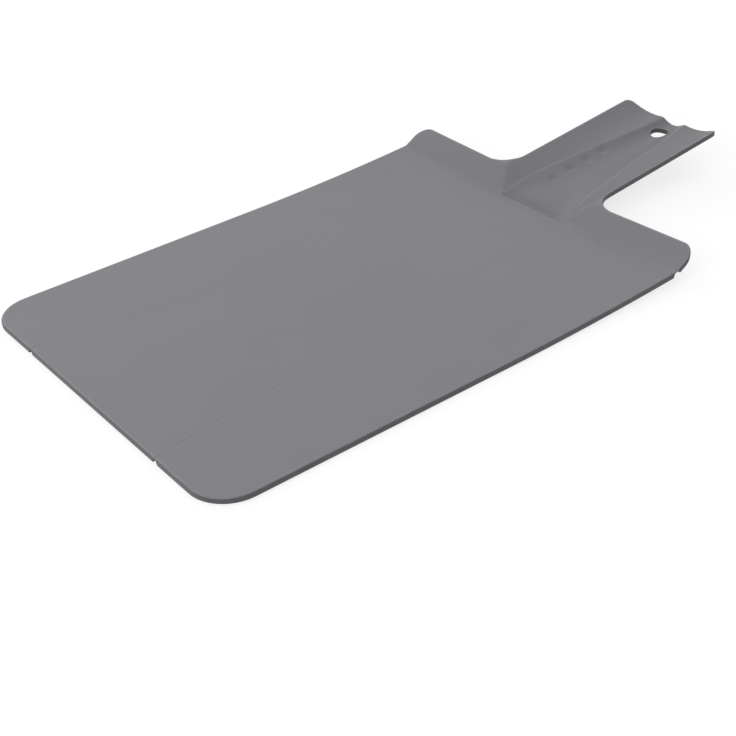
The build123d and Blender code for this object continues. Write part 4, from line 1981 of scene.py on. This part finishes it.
    def build(self) -> None:
        """Make every web."""
        form, half = self.shop.form, self.shop.form.cross_web_half
        tree = WebTree(self.shop.materials["hinge_web"])
        for side in Side:
            sign, word = side.value, side.word
            skin = self.skin(f"{word}_side_web", self.side_rows(sign))
            middle = (form.crease_x(0.0), 0.0)
            self.bend(self.close(skin, tree, self.side_sink), ("board", f"{word}_side"))
            skin = self.skin(f"{word}_handle_web", self.handle_rows(sign), self.handle_painted_highlight)
            middle = (form.ridge_x(form.neck_y), form.neck_y)
            self.bend(self.close(skin, tree, self.handle_sink), ("spine", f"{word}_wing"))
            for front, place, body in ((True, "board", "side"), (False, "rim", "wing")):
                skin = self.skin(f"{word}_rear_web_{place}_half", self.rear_rows(sign, front))
                nodes = [f"{word}_rear_hinge"] if front else []
                self.shop.finish(self.close(skin, tree), f"{word}_{body}", nodes, "hinge_web")
        piece = self.close(self.skin("root_web", self.root_rows()), tree)
        self.bend(piece, ("board", "spine"))


class FeetTree(MeshTree):
    """Stands a soft round foot on every point it is given."""

    SEGMENTS = {"Vertices": 56, "Side Segments": 16, "Fill Segments": 10}
    DISH_SHARE = 0.75

    def __init__(self, material: bpy.types.Material) -> None:
        """Build the tree, with one material for every foot.

        Args:
            material: Material of the result.
        """
        sizes = {"Radius": 0.006, "Height": 0.0016, "Edge Round": 0.0004, "Dish": 0.00015}
        super().__init__("rubber_feet", **sizes)
        sizes = {"Radius": self.given("Radius"), "Depth": self.given("Height")}
        drum = {**self.SEGMENTS, **sizes}
        drum = self.tree.node("GeometryNodeMeshCylinder", drum, fill_type="TRIANGLE_FAN")
        placed = {"Points": self.given("Geometry"), "Instance": self.shaped(drum.outputs["Mesh"])}
        placed = self.tree.node("GeometryNodeInstanceOnPoints", placed).outputs["Instances"]
        realized = self.through("GeometryNodeRealizeInstances", placed)
        self.end(self.through("GeometryNodeSetShadeSmooth", realized), material)

    def shaped(self, mesh: object) -> object:
        """Round the drum's lower edge and hollow its tread a little.

        Args:
            mesh: The mesh.

        Returns:
            The shaped foot.
        """
        count = self.tree.math
        place = {"Vector": self.tree.node("GeometryNodeInputPosition").outputs["Position"]}
        place = self.tree.node("ShaderNodeSeparateXYZ", place).outputs
        radius, edge = self.given("Radius"), self.given("Edge Round")
        half = count("MULTIPLY", self.given("Height"), 0.5)
        above = count("ADD", place["Z"], half)
        into = count("MAXIMUM", count("SUBTRACT", edge, above), 0.0)
        square = count("MULTIPLY", edge, edge)
        square = count("SUBTRACT", square, count("MULTIPLY", into, into))
        bow = count("SQRT", count("MAXIMUM", square, 0.0))
        kept = count("ADD", count("SUBTRACT", radius, edge), bow)
        scale = count("DIVIDE", kept, radius)
        flat = count("LESS_THAN", above, TOLERANCE)
        away = count("POWER", place["X"], 2.0)
        away = count("ADD", away, count("POWER", place["Y"], 2.0))
        share = count("DIVIDE", away, count("MULTIPLY", radius, radius))
        hollow = count("MAXIMUM", count("SUBTRACT", self.DISH_SHARE, share), 0.0)
        lift = count("MULTIPLY", count("MULTIPLY", hollow, flat), self.given("Dish"))
        moved = {axis: count("MULTIPLY", place[axis], scale) for axis in "XY"}
        moved["Z"] = count("ADD", above, lift)
        moved = self.tree.node("ShaderNodeCombineXYZ", moved).outputs["Vector"]
        return self.through("GeometryNodeSetPosition", mesh, Position=moved)

    def stand(self, name: str, points: list[Point], height: float) -> bpy.types.Object:
        """Stand feet on points and give them as one plain mesh.

        Args:
            name: Name of the piece.
            points: Places of the feet in plan.
            height: Height of a foot in millimetres.

        Returns:
            The feet's object.
        """
        mesh = bpy.data.meshes.new(name)
        mesh.from_pydata([(x * MM, y * MM, 0.0) for x, y in points], [], [])
        piece = linked(name, mesh)
        self.apply(piece, Height=height * MM)
        return piece


@dataclass
class Feet:
    """The eight rubber feet, one mesh for each body."""

    shop: Workshop
    board: Board
    height: float = 1.6

    def build(self) -> None:
        """Stand the feet in their pockets."""
        tree = FeetTree(self.shop.materials["foot_rubber"])
        places = ("left_front", "left_rear", "right_front", "right_rear")
        nodes = [f"centre_{place}_foot" for place in places]
        self.one("middle_feet", self.board.middle_feet(), "board", nodes, tree)
        for side in Side:
            points = [(side.value * x, y) for x, y in self.board.side_feet()]
            nodes = [f"{side.word}_{place}_foot" for place in ("front", "rear")]
            self.one(f"{side.word}_side_feet", points, f"{side.word}_side", nodes, tree)

    def one(
        self, name: str, points: list[Point], body: str, nodes: list[str], tree: FeetTree
    ) -> None:
        """Make the feet of one body.

        Args:
            name: Name to give.
            points: The points in plan.
            body: Body that it rides on.
            nodes: CAD nodes that it stands for.
            tree: Tree that makes the feet.
        """
        piece = tree.stand(name, points, self.height)
        for edge in piece.data.edges:
            edge.use_edge_sharp = False
        self.shop.finish(piece, body, nodes, "foot_rubber")


@dataclass(frozen=True)
class Studio:
    """Pale floor, soft lights and the camera at the photograph's viewing angle."""

    camera_place: Point3 = (497.38, -393.20, 351.55)
    camera_right: Point3 = (0.6119142, 0.78874647, -0.05865162)
    camera_up: Point3 = (-0.40347699, 0.37507958, 0.83457871)
    camera_back: Point3 = (0.68027004, -0.48702598, 0.54775758)
    focal_pixels: float = 1390.1
    frame_pixels: float = 736.0
    sensor: float = 36.0
    floor_size: float = 30.0
    world_strength: float = 0.5
    floor_tone: float = 0.3
    floor_glow: float = 0.78
    clip: Point = (0.01, 100.0)
    lamps: tuple[tuple[str, Point3, Point, float], ...] = (
        ("rear_softbox", (-1.5, 1.1, 1.3), (1.6, 1.2), 5.5),
        ("front_softbox", (0.6, -1.7, 1.2), (1.8, 1.0), 18.0),
        ("left_softbox", (-1.9, -0.2, 1.1), (1.4, 1.0), 4.5),
    )

    def build(self) -> None:
        """Set up the whole studio."""
        self.floor()
        self.world()
        for lamp in self.lamps:
            self.lamp(*lamp)
        self.camera()
        bpy.context.scene.view_settings.view_transform = "Standard"

    def floor(self) -> None:
        """A white floor that keeps the board's soft shadow."""
        half = self.floor_size / 2
        mesh = bpy.data.meshes.new("floor")
        corners = [(-half, -half, 0.0), (half, -half, 0.0), (half, half, 0.0), (-half, half, 0.0)]
        mesh.from_pydata(corners, [], [(0, 1, 2, 3)])
        floor = linked("floor", mesh)
        material = bpy.data.materials.new("white_floor")
        tree = blank(material)
        plain = tree.node("ShaderNodeBsdfDiffuse", {"Color": (self.floor_tone,) * 3 + (1.0,)})
        seen = self.seen(tree, "Is Camera Ray", "Is Glossy Ray", "Is Transmission Ray")
        glow = {"Strength": tree.math("MULTIPLY", seen, self.floor_glow)}
        glow = tree.node("ShaderNodeEmission", glow).outputs["Emission"]
        added = tree.node("ShaderNodeAddShader", {0: plain.outputs["BSDF"], 1: glow})
        tree.node("ShaderNodeOutputMaterial", {"Surface": added.outputs["Shader"]})
        mesh.materials.append(material)

    @staticmethod
    def seen(tree: Tree, *kinds: str) -> object:
        """Whether a ray is of one of the named kinds.

        Args:
            tree: Tree to add to.
            kinds: Names of the light path's outputs.

        Returns:
            1 where it is, 0 elsewhere.
        """
        rays = tree.node("ShaderNodeLightPath").outputs
        found = rays[kinds[0]]
        for kind in kinds[1:]:
            found = tree.math("MAXIMUM", found, rays[kind])
        return found

    def world(self) -> None:
        """A white surround, soft for light and white for the camera."""
        world = bpy.data.worlds.new("surround")
        bpy.context.scene.world = world
        tree = blank(world)
        lit, white = (
            tree.node("ShaderNodeBackground", {"Color": (1.0,) * 4, "Strength": strength})
            for strength in (self.world_strength, 1.0)
        )
        sockets = {1: lit.outputs["Background"], 2: white.outputs["Background"]}
        sockets["Fac"] = self.seen(tree, "Is Camera Ray", "Is Transmission Ray")
        mixed = tree.node("ShaderNodeMixShader", sockets)
        tree.node("ShaderNodeOutputWorld", {"Surface": mixed.outputs["Shader"]})

    def lamp(self, name: str, place: Point3, size: Point, power: float) -> None:
        """One soft rectangular light that looks at the board.

        Args:
            name: Name of the light.
            place: Where it stands, in metres.
            size: Its two sides, in metres.
            power: Its power in watts.
        """
        data = bpy.data.lights.new(name, "AREA")
        data.shape = "RECTANGLE"
        data.size, data.size_y = size
        data.energy = power
        lamp = linked(name, data)
        lamp.location = place
        lamp.rotation_mode = "QUATERNION"
        lamp.rotation_quaternion = (-Vector(place)).to_track_quat("-Z", "Y")

    def camera(self) -> None:
        """The camera, with the lens and the place worked out from the board's outline."""
        data = bpy.data.cameras.new("camera")
        data.sensor_width = self.sensor
        data.lens = self.focal_pixels / self.frame_pixels * self.sensor
        data.clip_start, data.clip_end = self.clip
        camera = linked("camera", data)
        place = [v * MM for v in self.camera_place]
        rows = zip(self.camera_right, self.camera_up, self.camera_back, place)
        camera.matrix_world = Matrix([list(row) for row in rows] + [[0.0, 0.0, 0.0, 1.0]])
        bpy.context.scene.camera = camera


def main() -> None:
    """Build the whole dress in order."""
    logging.basicConfig(level=logging.INFO, format="%(name)s %(message)s")
    form = BoardForm()
    parts = FinishParts()
    plastic, web = PlasticFinish("board_plastic"), PlasticFinish("hinge_web", marks=0.3)
    finishes = (plastic, web, RubberFinish())
    materials = {finish.name: finish.build(parts) for finish in finishes}
    shop = Workshop(form, PanelMaker(form, EdgeProfile()), materials)
    board = Board(shop)
    board.build()
    Handle(shop).build()
    Webs(shop).build()
    Feet(shop, board).build()
    Studio().build()


if __name__ == "__main__":
    main()
